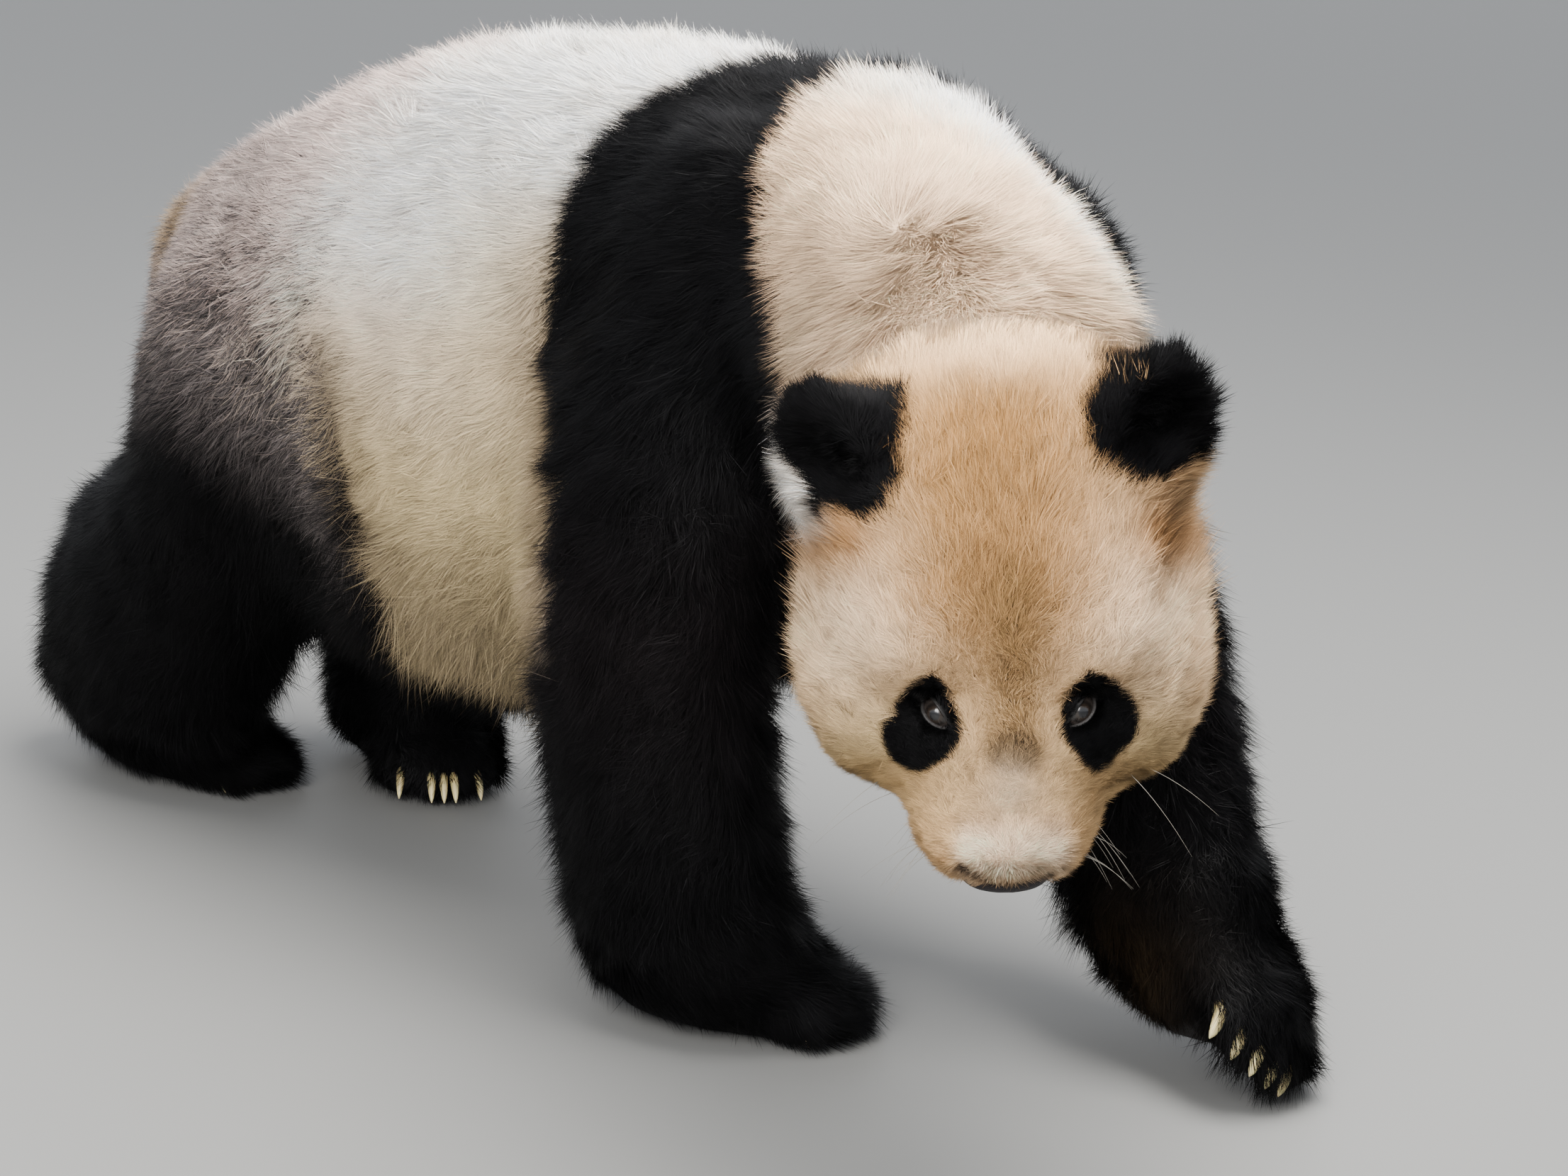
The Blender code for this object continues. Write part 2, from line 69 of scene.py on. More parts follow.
PAWS = {
    "forepaw_right": dict(spot=(-0.145, -0.288, 0.0), heading=32, dip=0, roll=0, size=1.0,
                          claws=0.32, back=0.010, thick=1.0, toes=(-2, -1, 0, 1, 2)),
    "forepaw_left": dict(spot=(0.080, -0.586, 0.0475), heading=-27, dip=18, roll=36, size=1.02,
                         claws=0.62, back=0.002, thick=2.1,
                         toes=(-2.05, -1.38, -0.71, -0.04, 0.63)),
    "hindpaw_right": dict(spot=(-0.100, 0.498, 0.0), heading=24, dip=0, roll=0, size=0.95,
                          claws=0.30, back=0.010, thick=1.0, toes=(-2, -1, 0, 1, 2)),
    "hindpaw_left": dict(spot=(0.085, 0.372, 0.0), heading=-36, dip=0, roll=0, size=1.0,
                         claws=0.80, back=-0.001, thick=1.5, toes=(-1.45, -0.38, 0.05, 0.45, 1.35)),
}
EARS = {
    "ear_right": dict(base=(-0.099, -0.258, 0.050), tip=(-0.127, -0.338, 0.066), turn=-45,
                      pull=(-0.010, 0.006), rear=-0.016),
    "ear_left": dict(base=(0.098, -0.278, 0.040), tip=(0.122, -0.351, 0.072), turn=20,
                     pull=(-0.004, 0.0135), rear=-0.029),
}


def unit(vectors):
    """Vectors divided by their lengths."""
    return vectors / np.maximum(np.linalg.norm(vectors, axis=-1, keepdims=True), 1e-9)


def step(low, high, values):
    """0 below low, 1 above high, and a smooth S between them."""
    t = np.clip((values - low) / (high - low), 0, 1)
    return t * t * (3 - 2 * t)


def bump_at(distance, width):
    """A bell: 1 at no distance, falling to nothing over about twice the width."""
    return np.exp(-(distance / width) ** 2)


def noise(points, size, seed, channels=1):
    """Smooth random values, about -1 to 1: random numbers on a lattice, eased between its points."""
    cell = points / size
    base = np.floor(cell).astype(np.int64)
    part_way = cell - base
    part_way = part_way * part_way * (3 - 2 * part_way)
    table = np.random.default_rng(seed).uniform(-1, 1, (4096, channels)) * 1.5
    total = np.zeros((len(points), channels))
    for corner in np.ndindex(2, 2, 2):
        at = base + corner
        slot = (at[:, 0] * 73856093 ^ at[:, 1] * 19349663 ^ at[:, 2] * 83492791) % 4096
        weight = np.prod(np.where(corner, part_way, 1 - part_way), axis=1)
        total += table[slot] * weight[:, None]
    return total[:, 0] if channels == 1 else total


def to_head(points):
    """Left, forward and up of points, in the head's frame."""
    local = (points - np.array(NOSE_TIP)) @ np.array(HEAD_TURN)
    return local * (1, -1, 1)


def from_head(left, forward, up):
    """The place of one point given in the head's frame."""
    return NOSE_TIP + HEAD_TURN @ Vector((left, -forward, up))


def head_direction(left, forward, up):
    """A unit vector given in the head's frame."""
    return np.array((HEAD_TURN @ Vector((left, -forward, up))).normalized())


def paw_matrix(paw):
    """Frame of a paw: heading, then the dip of its toes, then its roll."""
    place = Matrix.Translation(ORIGIN + Vector(paw["spot"]))
    for angle, axis in ((paw["heading"], "Z"), (paw["dip"], "X"), (paw["roll"], "Y")):
        place = place @ Matrix.Rotation(math.radians(angle), 4, axis)
    return place


def ear_axes(ear):
    """Root of an ear, and its unit vectors: across, to the tip, and through its thickness."""
    base = from_head(*ear["base"])
    axis = (from_head(*ear["tip"]) - base).normalized()
    across = HEAD_TURN @ (Matrix.Rotation(math.radians(ear["turn"]), 3, "Y") @ Vector((1, 0, 0)))
    across = (across - axis * across.dot(axis)).normalized()
    return np.array(base), np.array([across, axis, across.cross(axis)])


print("eyes at", [tuple(round(v, 3) for v in to_head(np.array(sum(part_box(n), Vector()) / 2)))
                  for n in ("eye_right", "eye_left")])

# %% [markdown]
# ## The skin
# On the animal the skin is one sheet.  The model's flesh comes parted by hair-thin gaps, so its
# pieces are copied, swollen by under a millimetre so that they meet, and fused by a voxel remesh,
# which gives an even net of small squares.  Smoothing takes the facets out.
# %% Fuse the flesh
VOXEL = 0.0079
SWELL = 0.0009
FLESH = sorted(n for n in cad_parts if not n.startswith(("claw", "eye", "nose")))


def mesh_arrays(mesh):
    """Places, edges and triangles of a mesh as arrays."""
    places = np.empty(len(mesh.vertices) * 3)
    mesh.vertices.foreach_get("co", places)
    edges = np.empty(len(mesh.edges) * 2, np.int32)
    mesh.edges.foreach_get("vertices", edges)
    mesh.calc_loop_triangles()
    triangles = np.empty(len(mesh.loop_triangles) * 3, np.int32)
    mesh.loop_triangles.foreach_get("vertices", triangles)
    return places.reshape(-1, 3), edges.reshape(-1, 2), triangles.reshape(-1, 3)


def summed(index, values, count):
    """For each of `count` slots, the sum of the rows of values that belong to it."""
    return np.stack([np.bincount(index, values[:, k], count) for k in range(values.shape[1])], axis=1)


def vertex_normals(places, triangles):
    """Unit normals: the sum of the area vectors of the triangles round each vertex."""
    a, b, c = (places[triangles[:, k]] for k in range(3))
    area = np.cross(b - a, c - a)
    return unit(sum(summed(triangles[:, k], area, len(places)) for k in range(3)))


def welded(node):
    """A node's vertices, merged where they coincide, and its triangles."""
    places, _, triangles = mesh_arrays(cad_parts[node].data)
    merged, index = np.unique(np.round(places, 6), axis=0, return_inverse=True)
    return merged, index.reshape(-1)[triangles]


def new_object(name, mesh):
    """Put a mesh in the scene as an object."""
    obj = bpy.data.objects.new(name, mesh)
    bpy.context.scene.collection.objects.link(obj)
    return obj


def fused_flesh():
    """All flesh nodes, with the nose and eyes that fill their pockets, as one even closed mesh."""
    places, faces, count = [], [], 0
    for node in (*FLESH, "nose", "eye_left", "eye_right"):
        p, t = welded(node)
        places.append(p + vertex_normals(p, t) * SWELL)
        faces.append(t + count)
        count += len(p)
    mesh = bpy.data.meshes.new("flesh")
    mesh.from_pydata(np.concatenate(places), [], np.concatenate(faces).tolist())
    obj = new_object("flesh", mesh)
    remesh = obj.modifiers.new("fuse", "REMESH")
    remesh.mode = "VOXEL"
    remesh.voxel_size = VOXEL
    smooth = obj.modifiers.new("smooth", "SMOOTH")
    smooth.factor = 0.5
    smooth.iterations = 14
    fused = bpy.data.meshes.new_from_object(
        obj.evaluated_get(bpy.context.evaluated_depsgraph_get()))
    bpy.data.objects.remove(obj, do_unlink=True)
    return fused


skin_mesh = fused_flesh()
print("fused flesh has", len(skin_mesh.vertices), "vertices")

# %% [markdown]
# ## A finer net on the face
# Lids, lips and nostrils need points a millimetre apart, the flank doesn't.  The net is cut in
# half three times, each time in a smaller part of the face, and the new points are then eased
# between their neighbours.
# %% Refine the face
EYE_SIDES = {"eye_right": -1, "eye_left": 1}
EYE_AT = {n: to_head(np.array(sum(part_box(n), Vector()) / 2)) for n in EYE_SIDES}


def near_feature(places, level):
    """True where the net is cut once more: the face, then eyes and mouth, then the lids."""
    head = to_head(places)
    to_eye = np.minimum(*(np.linalg.norm(head - e, axis=1) for e in EYE_AT.values()))
    if level == 0:
        return (head[:, 1] > -0.20) & (head[:, 1] < 0.05) & (np.abs(head[:, 0]) < 0.13)
    if level == 1:
        return (to_eye < 0.034) | ((head[:, 1] > -0.095) & (head[:, 1] < 0.05)
                                   & (np.abs(head[:, 2] + 0.02) < 0.045)
                                   & (np.abs(head[:, 0]) < 0.075))
    return to_eye < 0.024


def refine(mesh):
    """Cut the edges near the features, level after level."""
    for level in range(3):
        bm = bmesh.new()
        bm.from_mesh(mesh)
        places = mesh_arrays(mesh)[0]
        chosen = near_feature(places, level)
        edges = [e for e in bm.edges if chosen[e.verts[0].index] and chosen[e.verts[1].index]]
        bmesh.ops.subdivide_edges(bm, edges=edges, cuts=1, use_grid_fill=True)
        bm.to_mesh(mesh)
        bm.free()


refine(skin_mesh)
places, EDGES, TRIANGLES = mesh_arrays(skin_mesh)
VALENCE = np.bincount(EDGES.ravel(), minlength=len(places))[:, None]


def spread(values, rounds, share=0.5):
    """Ease values over the skin: each round moves a vertex toward the mean of its neighbours."""
    values = np.array(values, float)
    flat = values.reshape(len(values), -1)
    for _ in range(rounds):
        total = (summed(EDGES[:, 0], flat[EDGES[:, 1]], len(flat))
                 + summed(EDGES[:, 1], flat[EDGES[:, 0]], len(flat)))
        flat += share * (total / VALENCE - flat)
    return values


outer = spread(places, 3)
print("skin has", len(places), "vertices and", len(TRIANGLES), "triangles")

# %% [markdown]
# ## Which part a point belongs to
# Coat length, colour and lie change from part to part, but on the animal they flow into each
# other.  Each skin point takes the name of the nearest flesh piece, and those shares are spread
# over the skin until they overlap softly.
# %% Shares of the parts
def nearest_part(points):
    """Index in FLESH of the node whose vertex lies nearest, worked out in blocks."""
    marks = [welded(node)[0] for node in FLESH]
    owner = np.repeat(np.arange(len(FLESH)), [len(m) for m in marks])
    marks = np.concatenate(marks).astype(np.float32)
    square = (marks ** 2).sum(1)
    nearest = [np.argmin(square - 2 * block @ marks.T, axis=1)
               for block in np.array_split(points.astype(np.float32), 40)]
    return owner[np.concatenate(nearest)]


part = nearest_part(outer)
shares = spread(np.eye(len(FLESH))[part], 24)
SHARE = {name: shares[:, k] for k, name in enumerate(FLESH)}
PAW = sum(SHARE[n] for n in PAWS)
EAR = SHARE["ear_left"] + SHARE["ear_right"]
FORELEG = SHARE["foreleg_left"] + SHARE["foreleg_right"]
HINDLEG = SHARE["hindleg_left"] + SHARE["hindleg_right"]
head = to_head(outer)
outward = unit(spread(vertex_normals(outer, TRIANGLES), 4))
x, y, z = outer.T
print({name: round(float(share.mean()), 3) for name, share in SHARE.items()})

# %% [markdown]
# ## The coat's length and depth
# A panda's coat is short and dense on the face, longer on the cheeks, and longest under the belly
# and on the legs.  It stands up on the blaze over the nose and in the ruff of the cheeks.  Tufts
# lie at a slant, so the coat is less deep than it is long, and the skin is sunk by that depth.
# %% Length and lie
FACE = step(-0.215, -0.150, head[:, 1]) * step(-0.02, 0.02, SHARE["head"] - 0.5)
MUZZLE = step(-0.125, -0.085, head[:, 1]) * SHARE["head"]
BELLY = step(0.0, -0.60, outward[:, 2]) * (SHARE["trunk"] + 0.6 * (FORELEG + HINDLEG)) * step(
    0.38, 0.28, z)
SOLE = step(-0.55, -0.85, outward[:, 2]) * step(0.05, 0.02, z)
for name, paw in PAWS.items():
    if paw["dip"]:
        inverse = np.array(paw_matrix(paw).inverted())
        across, along = (outer @ inverse[:2, :3].T + inverse[:2, 3]).T
        under = outward @ -np.array(paw_matrix(paw).to_3x3().col[2])
        tread = step(1.15, 0.90, np.hypot(across / 0.055, (along + 0.045) / 0.052))
        SOLE = np.maximum(SOLE, SHARE[name] * step(0.60, 0.85, under) * tread)


def by_part(trunk, belly, neck, head, face, muzzle, ear, leg, paw, sole, tail):
    """One value over the skin, blended from the value of each part."""
    value = (trunk * SHARE["trunk"] + neck * SHARE["neck"] + head * SHARE["head"] + ear * EAR
             + leg * (FORELEG + HINDLEG) + paw * PAW + tail * SHARE["tail"])
    for target, share in ((belly, BELLY), (face, FACE), (muzzle, MUZZLE), (sole, SOLE)):
        value = value + (target - value) * np.clip(share, 0, 1)
    return value


length = by_part(trunk=0.032, belly=0.072, neck=0.036, head=0.029, face=0.0150, muzzle=0.0100,
                 ear=0.021, leg=0.040, paw=0.030, sole=0.006, tail=0.042)
lift = by_part(trunk=27, belly=24, neck=32, head=33, face=33, muzzle=28,
               ear=55, leg=28, paw=25, sole=20, tail=26)
width = by_part(trunk=0.00095, belly=0.0011, neck=0.0009, head=0.0010, face=0.0009,
                muzzle=0.0008, ear=0.0010, leg=0.0010, paw=0.0009, sole=0.0009, tail=0.0011)
from_blaze = np.hypot(head[:, 0] / 0.040, (head[:, 1] + 0.020) / 0.020)
blaze = bump_at(from_blaze, 1.0) * SHARE["head"] * step(-0.015, 0.005, head[:, 2])
length = length + 0.0010 * blaze
lift = lift + 36 * blaze
from_cheek = np.hypot((np.abs(head[:, 0]) - 0.125) / 0.045, (head[:, 1] + 0.22) / 0.07)
cheek_ruff = bump_at(from_cheek, 1.0) * SHARE["head"] * step(0.05, 0.0, head[:, 2])
length = length + 0.016 * cheek_ruff
lift = lift + 14 * cheek_ruff
depth = length * np.sin(np.radians(lift)) * 0.92 * (
    1 - 0.50 * blaze - 0.4 * cheek_ruff - 0.35 * EAR - 0.45 * PAW - 0.3 * BELLY)
print("coat", round(length.min() * 1000, 1), "to", round(length.max() * 1000, 1), "mm long")

# %% [markdown]
# ## Sinking and sculpting the skin
# The skin goes in by the coat's depth.  Soft forms come next: the roll over the nose, the jowls,
# the fold before the thigh and the fullness of the far elbow.  The face then gets what fur doesn't
# hide: a soft hollow round each eye, lids that lie on the eyeball and leave a slanting almond
# open, a crease over the upper lid, the mouth line and the hollows of the ears.
# %% Sculpt the skin
EYE_RADIUS = 0.0125
SLIT_LENGTH = 0.0128
SLIT_HEIGHT = 0.0048
SLIT_SLANT = math.radians(50)


def eye_frame(name):
    """Centre of an eyeball and its axes: along the slit to the inner corner, across it, outward."""
    side = EYE_SIDES[name]
    gaze = head_direction(0.35 * side, 0.25, 1.0)
    along = head_direction(-side * math.cos(SLIT_SLANT), math.sin(SLIT_SLANT), 0.0)
    along = unit(along - gaze * (along @ gaze))
    centre = np.array(from_head(*EYE_AT[name])) - gaze * 0.0040
    return centre, np.array([along, np.cross(gaze, along), gaze])


def almond(p, q):
    """1 on the outline of the opening: rounded at the outer end, drawn out to the inner corner."""
    run = p / SLIT_LENGTH
    half = SLIT_HEIGHT * np.sqrt(np.maximum(1.0 - 0.45 * run - 0.30 * run ** 2, 0.05))
    return np.hypot(np.clip(run, -9, 9) * 0.93, q / half * 0.95)


def sink(points):
    """Move the skin in by the coat's depth, along eased normals."""
    return spread(points - outward * depth[:, None], 2)


def sculpt_eye(points, name):
    """Press the skin onto the eyeball, open between the lids.

    Height over the eye's middle is that of a slightly larger ball where the lids lie, that of a
    smaller ball inside the almond, and the skin's own height further out.
    """
    centre, axes = eye_frame(name)
    p, q, r = ((points - centre) @ axes.T).T
    flat = np.hypot(p, q)
    near = (flat < 0.034) & (r > -0.02) & (r < 0.04)
    opening = almond(p, q)
    ball = np.sqrt(np.maximum(EYE_RADIUS ** 2 - flat ** 2, 0))
    lid = np.sqrt(np.maximum((EYE_RADIUS + 0.0016) ** 2 - flat ** 2, 0.0035 ** 2))
    rim = 0.0009 * bump_at(opening - 1.22, 0.22)
    crease = 0.0010 * bump_at(opening - 2.1, 0.28)
    lids = lid + rim - crease
    blend = step(0.022, 0.0125, flat)
    height = r + (lids - r) * blend
    hole = step(1.10, 0.92, opening)
    height = height + (ball - 0.0035 - height) * hole
    return points + (height - r)[:, None] * axes[2] * near[:, None]


def sculpt_ears(points):
    """Hollow the front of each ear, which is a cup on the animal, and draw its far edge out."""
    for name, ear in EARS.items():
        base, axes = ear_axes(ear)
        u, v, w = ((points - base) @ axes.T).T
        front = np.sign(axes[2] @ head_direction(0, 0.3, 1))
        cup = bump_at(u, 0.024) * bump_at(v - 0.036, 0.024) * step(0.0, 0.012, w * front)
        pull = np.array(ear["pull"])
        toward = (u * pull[0] + (v - 0.04) * pull[1]) / np.hypot(*pull)
        move = step(-0.02, 0.04, toward)[:, None] * (pull @ axes[:2])
        move = move - (0.016 * cup)[:, None] * axes[2] * front
        points = points + SHARE[name][:, None] * move
    return points


def sculpt_mouth(points):
    """Mouth line round the end of the muzzle, with the groove that leads down from the nose."""
    left, forward, up = to_head(points).T
    level = -0.0370 - 2.0 * left ** 2
    line = bump_at(up - level, 0.0028) * step(-0.105, -0.085, forward)
    groove = bump_at(left, 0.0022) * step(-0.037, -0.033, up) * step(-0.022, -0.026, up) * step(
        -0.03, -0.01, forward)
    depth_in = np.maximum(line * 0.0035, groove * 0.0020)
    return points - outward * (depth_in * SHARE["head"])[:, None]


def sculpt_forms(points):
    """Soft forms under the coat: roll, bridge and jowls, the fold at the flank, the far elbow."""
    left, forward, up = head.T
    roll = bump_at(left / 0.034, 1.0) * bump_at(forward + 0.018, 0.013) * step(-0.01, 0.01, up)
    dip = bump_at(left / 0.030, 1.0) * bump_at(forward + 0.046, 0.010) * step(0.0, 0.02, up)
    bridge = bump_at(left / 0.014, 1.0) * bump_at(forward + 0.075, 0.030) * step(0.0, 0.02, up)
    jowl = step(0.022, 0.042, np.abs(left)) * bump_at(forward + 0.032, 0.032)
    form = (0.0065 * roll - 0.0026 * dip + 0.0022 * bridge + 0.0060 * jowl) * SHARE["head"]
    fold = bump_at(y - 0.212 - 0.20 * (z - 0.40), 0.020) * step(0.24, 0.30, z) * step(0.53, 0.45, z)
    form = form - 0.014 * fold * step(0.02, -0.04, x) * (1 - SHARE["head"])
    from_elbow = np.linalg.norm((outer - (0.26, -0.42, 0.34)) / (0.17, 0.17, 0.20), axis=1)
    elbow = bump_at(from_elbow, 1.0) * (FORELEG + 0.5 * SHARE["trunk"]) * step(0.10, 0.16, x)
    return points + outward * form[:, None] + 0.022 * elbow[:, None] * np.array([0.69, -0.72, 0])


skin = sculpt_forms(sink(outer))
hollow = sum(bump_at(np.linalg.norm(head - EYE_AT[n], axis=1), 0.026) for n in EYE_SIDES)
skin = skin - outward * (0.0020 * hollow)[:, None]
for eye_name in EYE_SIDES:
    skin = sculpt_eye(skin, eye_name)
skin = sculpt_mouth(sculpt_ears(skin))
normals = vertex_normals(skin, TRIANGLES)
print("skin spans", skin.min(0).round(3), skin.max(0).round(3))

# %% [markdown]
# ## The lie of the coat
# Hair grows away from the nose over the head, backward and down over the body, down the legs and
# toward the toes, and from the root to the tip of an ear.  On the nape it turns out of a whorl.
# Each part has its own direction; they are blended by the shares, laid flat on the skin, and
# eased.
# %% Flow over the skin
WHORL = np.array([-0.115, -0.365, 0.718])
MIDDLE = 0.085


def part_flow():
    """Direction of the coat at every skin point, blended from the direction of each part."""
    count = len(outer)
    flank = np.sign(x - MIDDLE) * step(0.0, 0.12, np.abs(x - MIDDLE))
    flow = {name: np.zeros((count, 3)) for name in FLESH}
    flow["trunk"] = np.stack([0.25 * flank, np.ones(count), -0.55 * np.abs(flank)], axis=1)
    flow["trunk"] = flow["trunk"] + BELLY[:, None] * np.array([0, 0.3, -2.2])
    from_whorl = outer - WHORL
    reach = np.linalg.norm(from_whorl, axis=1)
    radial = from_whorl / np.maximum(reach, 0.004)[:, None]
    radial = radial + 0.7 * np.cross(radial, outward) * step(0.12, 0.02, reach)[:, None]
    back = np.stack([0.5 * flank, np.ones(count), -0.6 * np.abs(flank)], axis=1)
    behind = step(-0.3, 0.2, radial[:, 1]) * step(0.04, 0.13, reach)
    flow["neck"] = radial + back * behind[:, None]
    pole = np.array(from_head(0, -0.004, -0.004))
    flow["head"] = unit(outer - pole)
    for name, ear in EARS.items():
        base, axes = ear_axes(ear)
        flow[name] = unit(axes[1] + 0.6 * unit(outer - base - axes[1] * 0.03))
    flow["tail"][:] = (0, 0.25, -1)
    flow["foreleg_right"][:] = (-0.05, 0.28, -1)
    flow["foreleg_left"][:] = (-0.10, -0.45, -0.9)
    flow["hindleg_right"][:] = (0, 0.45, -1)
    flow["hindleg_left"][:] = (0, 0.30, -1)
    for name, paw in PAWS.items():
        flow[name][:] = np.array(paw_matrix(paw).to_3x3() @ Vector((0, -1, -0.35)))
    return sum(flow[name] * SHARE[name][:, None] for name in FLESH)


def laid_flat(vectors):
    """Vectors with their part along the skin's normal taken out, at unit length."""
    return unit(vectors - normals * (vectors * normals).sum(1)[:, None])


lie = laid_flat(spread(laid_flat(part_flow()), 6))
sway = laid_flat(spread(rng.normal(size=outer.shape), 3))
wave = laid_flat(spread(rng.normal(size=outer.shape), 30))
lie = laid_flat(lie + 0.30 * sway + 0.22 * wave)
print("flow ready")

# %% [markdown]
# ## Markings
# The same paint serves skin and coat.  Borders are given by where they run on the body: the black
# band over the shoulders by its back edge at each height and its front edge round the neck, the
# black of the hind legs by its upper edge.  The black of the ears and round the eyes has an
# outline of its own.  Softer tints (tan brow, yellow flanks, grey rump) are bells round named
# places.
# %% Paint
PAINT = {
    "white": (0.90, 0.84, 0.765), "ivory": (0.745, 0.60, 0.46), "pink": (0.74, 0.55, 0.48),
    "peach": (0.70, 0.44, 0.240), "straw": (0.56, 0.43, 0.225), "earth": (0.42, 0.31, 0.20),
    "cream": (0.64, 0.405, 0.205), "blush": (0.86, 0.63, 0.42), "tan": (0.31, 0.155, 0.050),
    "brown": (0.205, 0.112, 0.046), "umber": (0.145, 0.110, 0.075), "fawn": (0.46, 0.31, 0.15),
    "olive": (0.158, 0.092, 0.037), "rust": (0.34, 0.16, 0.055), "grey": (0.38, 0.305, 0.27),
    "smudge": (0.075, 0.047, 0.022), "silver": (0.40, 0.34, 0.32), "wrist": (0.022, 0.014, 0.007),
    # The plum below is painted sheen with a brownish tint, for highlights on black hair.
    "black": (0.0034, 0.0033, 0.0035), "plum_sheen": (0.0066, 0.0053, 0.0055),
    "rim": (0.034, 0.032, 0.031), "lip": (0.02, 0.015, 0.014), "pad": (0.014, 0.012, 0.012),
}
PAINT = {name: np.array(colour) for name, colour in PAINT.items()}
BAND_BACK = ((0.00, 0.300), (0.19, 0.300), (0.215, -0.100), (0.35, -0.098), (0.42, -0.082),
             (0.47, -0.050), (0.52, -0.012), (0.57, -0.003), (0.62, 0.010), (0.68, 0.020),
             (0.72, 0.012), (0.76, -0.020), (0.79, -0.050))
BAND_FRONT = ((-180, -0.330), (-120, -0.310), (-96, -0.315), (-84, -0.264), (-68, -0.205),
              (-45, -0.175), (-20, -0.145), (0, -0.150), (20, -0.225), (45, -0.315),
              (75, -0.370), (110, -0.380), (180, -0.330))
PATCHES = (
    ((-0.058, -0.110), ((-0.050, -0.1480), (-0.041, -0.1390), (-0.0345, -0.123), (-0.0300, -0.106),
                        (-0.0356, -0.0965), (-0.0498, -0.0844), (-0.0600, -0.0785),
                        (-0.0740, -0.0835), (-0.0850, -0.0960), (-0.0870, -0.1070),
                        (-0.0785, -0.1220), (-0.0650, -0.1400))),
    ((0.066, -0.112), ((0.0580, -0.1480), (0.0716, -0.1418), (0.0845, -0.1335), (0.0935, -0.1215),
                       (0.0925, -0.1045), (0.0812, -0.0915), (0.0620, -0.0780), (0.0484, -0.0920),
                       (0.0400, -0.1055), (0.0415, -0.1214), (0.0470, -0.1372))),
)
EAR_OUTLINES = {
    "ear_right": ((0.014, 0.045), (
        (-0.060, 0.070), (-0.036, 0.060), (-0.034, 0.050), (-0.031, 0.040), (-0.030, 0.028),
        (-0.032, 0.014), (-0.036, 0.001), (-0.010, 0.014), (0.004, 0.011), (0.013, 0.006),
        (0.020, 0.001), (0.026, -0.003), (0.036, 0.002), (0.047, 0.013), (0.054, 0.026),
        (0.055, 0.041), (0.054, 0.060), (0.049, 0.077), (0.038, 0.096), (0.012, 0.115),
        (-0.030, 0.135), (-0.065, 0.105))),
    "ear_left": ((-0.005, 0.054), (
        (-0.064, 0.051), (-0.056, 0.063), (-0.044, 0.072), (-0.031, 0.080), (-0.015, 0.105),
        (0.020, 0.125), (0.050, 0.119), (0.080, 0.089), (0.070, 0.057), (0.048, 0.037),
        (0.032, 0.030), (0.018, 0.020), (0.006, 0.012), (-0.010, 0.012), (-0.029, 0.016),
        (-0.045, 0.022), (-0.059, 0.033))),
}
HIND_TOP = ((0.190, 0.10), (0.205, 0.28), (0.235, 0.34), (0.262, 0.405), (0.34, 0.43),
            (0.42, 0.47), (0.50, 0.45), (0.60, 0.42), (0.72, 0.40))
GRIZZLE = ((-0.10, 1.1), (-0.05, 0.98), (0.0, 0.86), (0.05, 0.66), (0.10, 0.44), (0.15, 0.26),
           (0.20, 0.14), (0.28, 0.0))


def border(points, values):
    """Piecewise straight line through a few points."""
    return np.interp(values, *zip(*points))


def mixed(colour, other, share):
    """Blend of two colours."""
    return colour + (np.asarray(other) - colour) * np.clip(share, 0, 1)[..., None]


def black_parts(p, local, shares_of, fuzz):
    """How black the coat is: ears, eye patches, shoulder band with the forelegs, hind legs."""
    px, py, pz = p.T
    left, forward, up = local.T
    around = np.degrees(np.arctan2(px - 0.09, pz - 0.60))
    behind = border(BAND_BACK, pz) - py
    before = py - border(BAND_FRONT, around)
    on_band = step(-0.004, 0.004, behind + 0.006 * fuzz) * step(-0.004, 0.004, before + 0.006 * fuzz)
    on_band = on_band * (1 - step(0.3, 0.6, shares_of["head"] + shares_of["ear"]))
    low_leg = step(0.35, 0.6, shares_of["foreleg"] + shares_of["forepaw"]) * step(0.44, 0.38, pz)
    low_leg = low_leg * step(-0.004, 0.004, behind + 0.012 * fuzz)
    chest = step(0.34, 0.28, pz) * step(-0.05, -0.08, py)
    front = np.maximum(np.maximum(on_band, low_leg), chest * (1 - shares_of["head"]))
    share = border(GRIZZLE, pz - border(HIND_TOP, py)) * step(0.185, 0.215, py)
    hind = step(-0.06, 0.06, share - 0.5 - fuzz) * np.maximum(
        step(0.03, 0.075, np.abs(px - 0.07)), step(0.30, 0.25, pz))
    hind = np.maximum(hind, step(0.4, 0.8, shares_of["hindpaw"]))
    ears = ear_black(p, step(0.45, 0.70, shares_of["ear"]), fuzz)
    on_face = np.maximum(ears, eye_patches(left, forward, up, fuzz))
    return np.maximum(np.maximum(front, hind), on_face)


def reach_of(outline, middle, du, dv):
    """Distance from a middle point to an outline round it, in the direction of each (du, dv)."""
    edge = np.array(outline) - middle
    angle = np.degrees(np.arctan2(edge[:, 1], edge[:, 0]))
    order = np.argsort(angle)
    return np.interp(np.degrees(np.arctan2(dv, du)), angle[order], np.hypot(*edge.T)[order],
                     period=360)


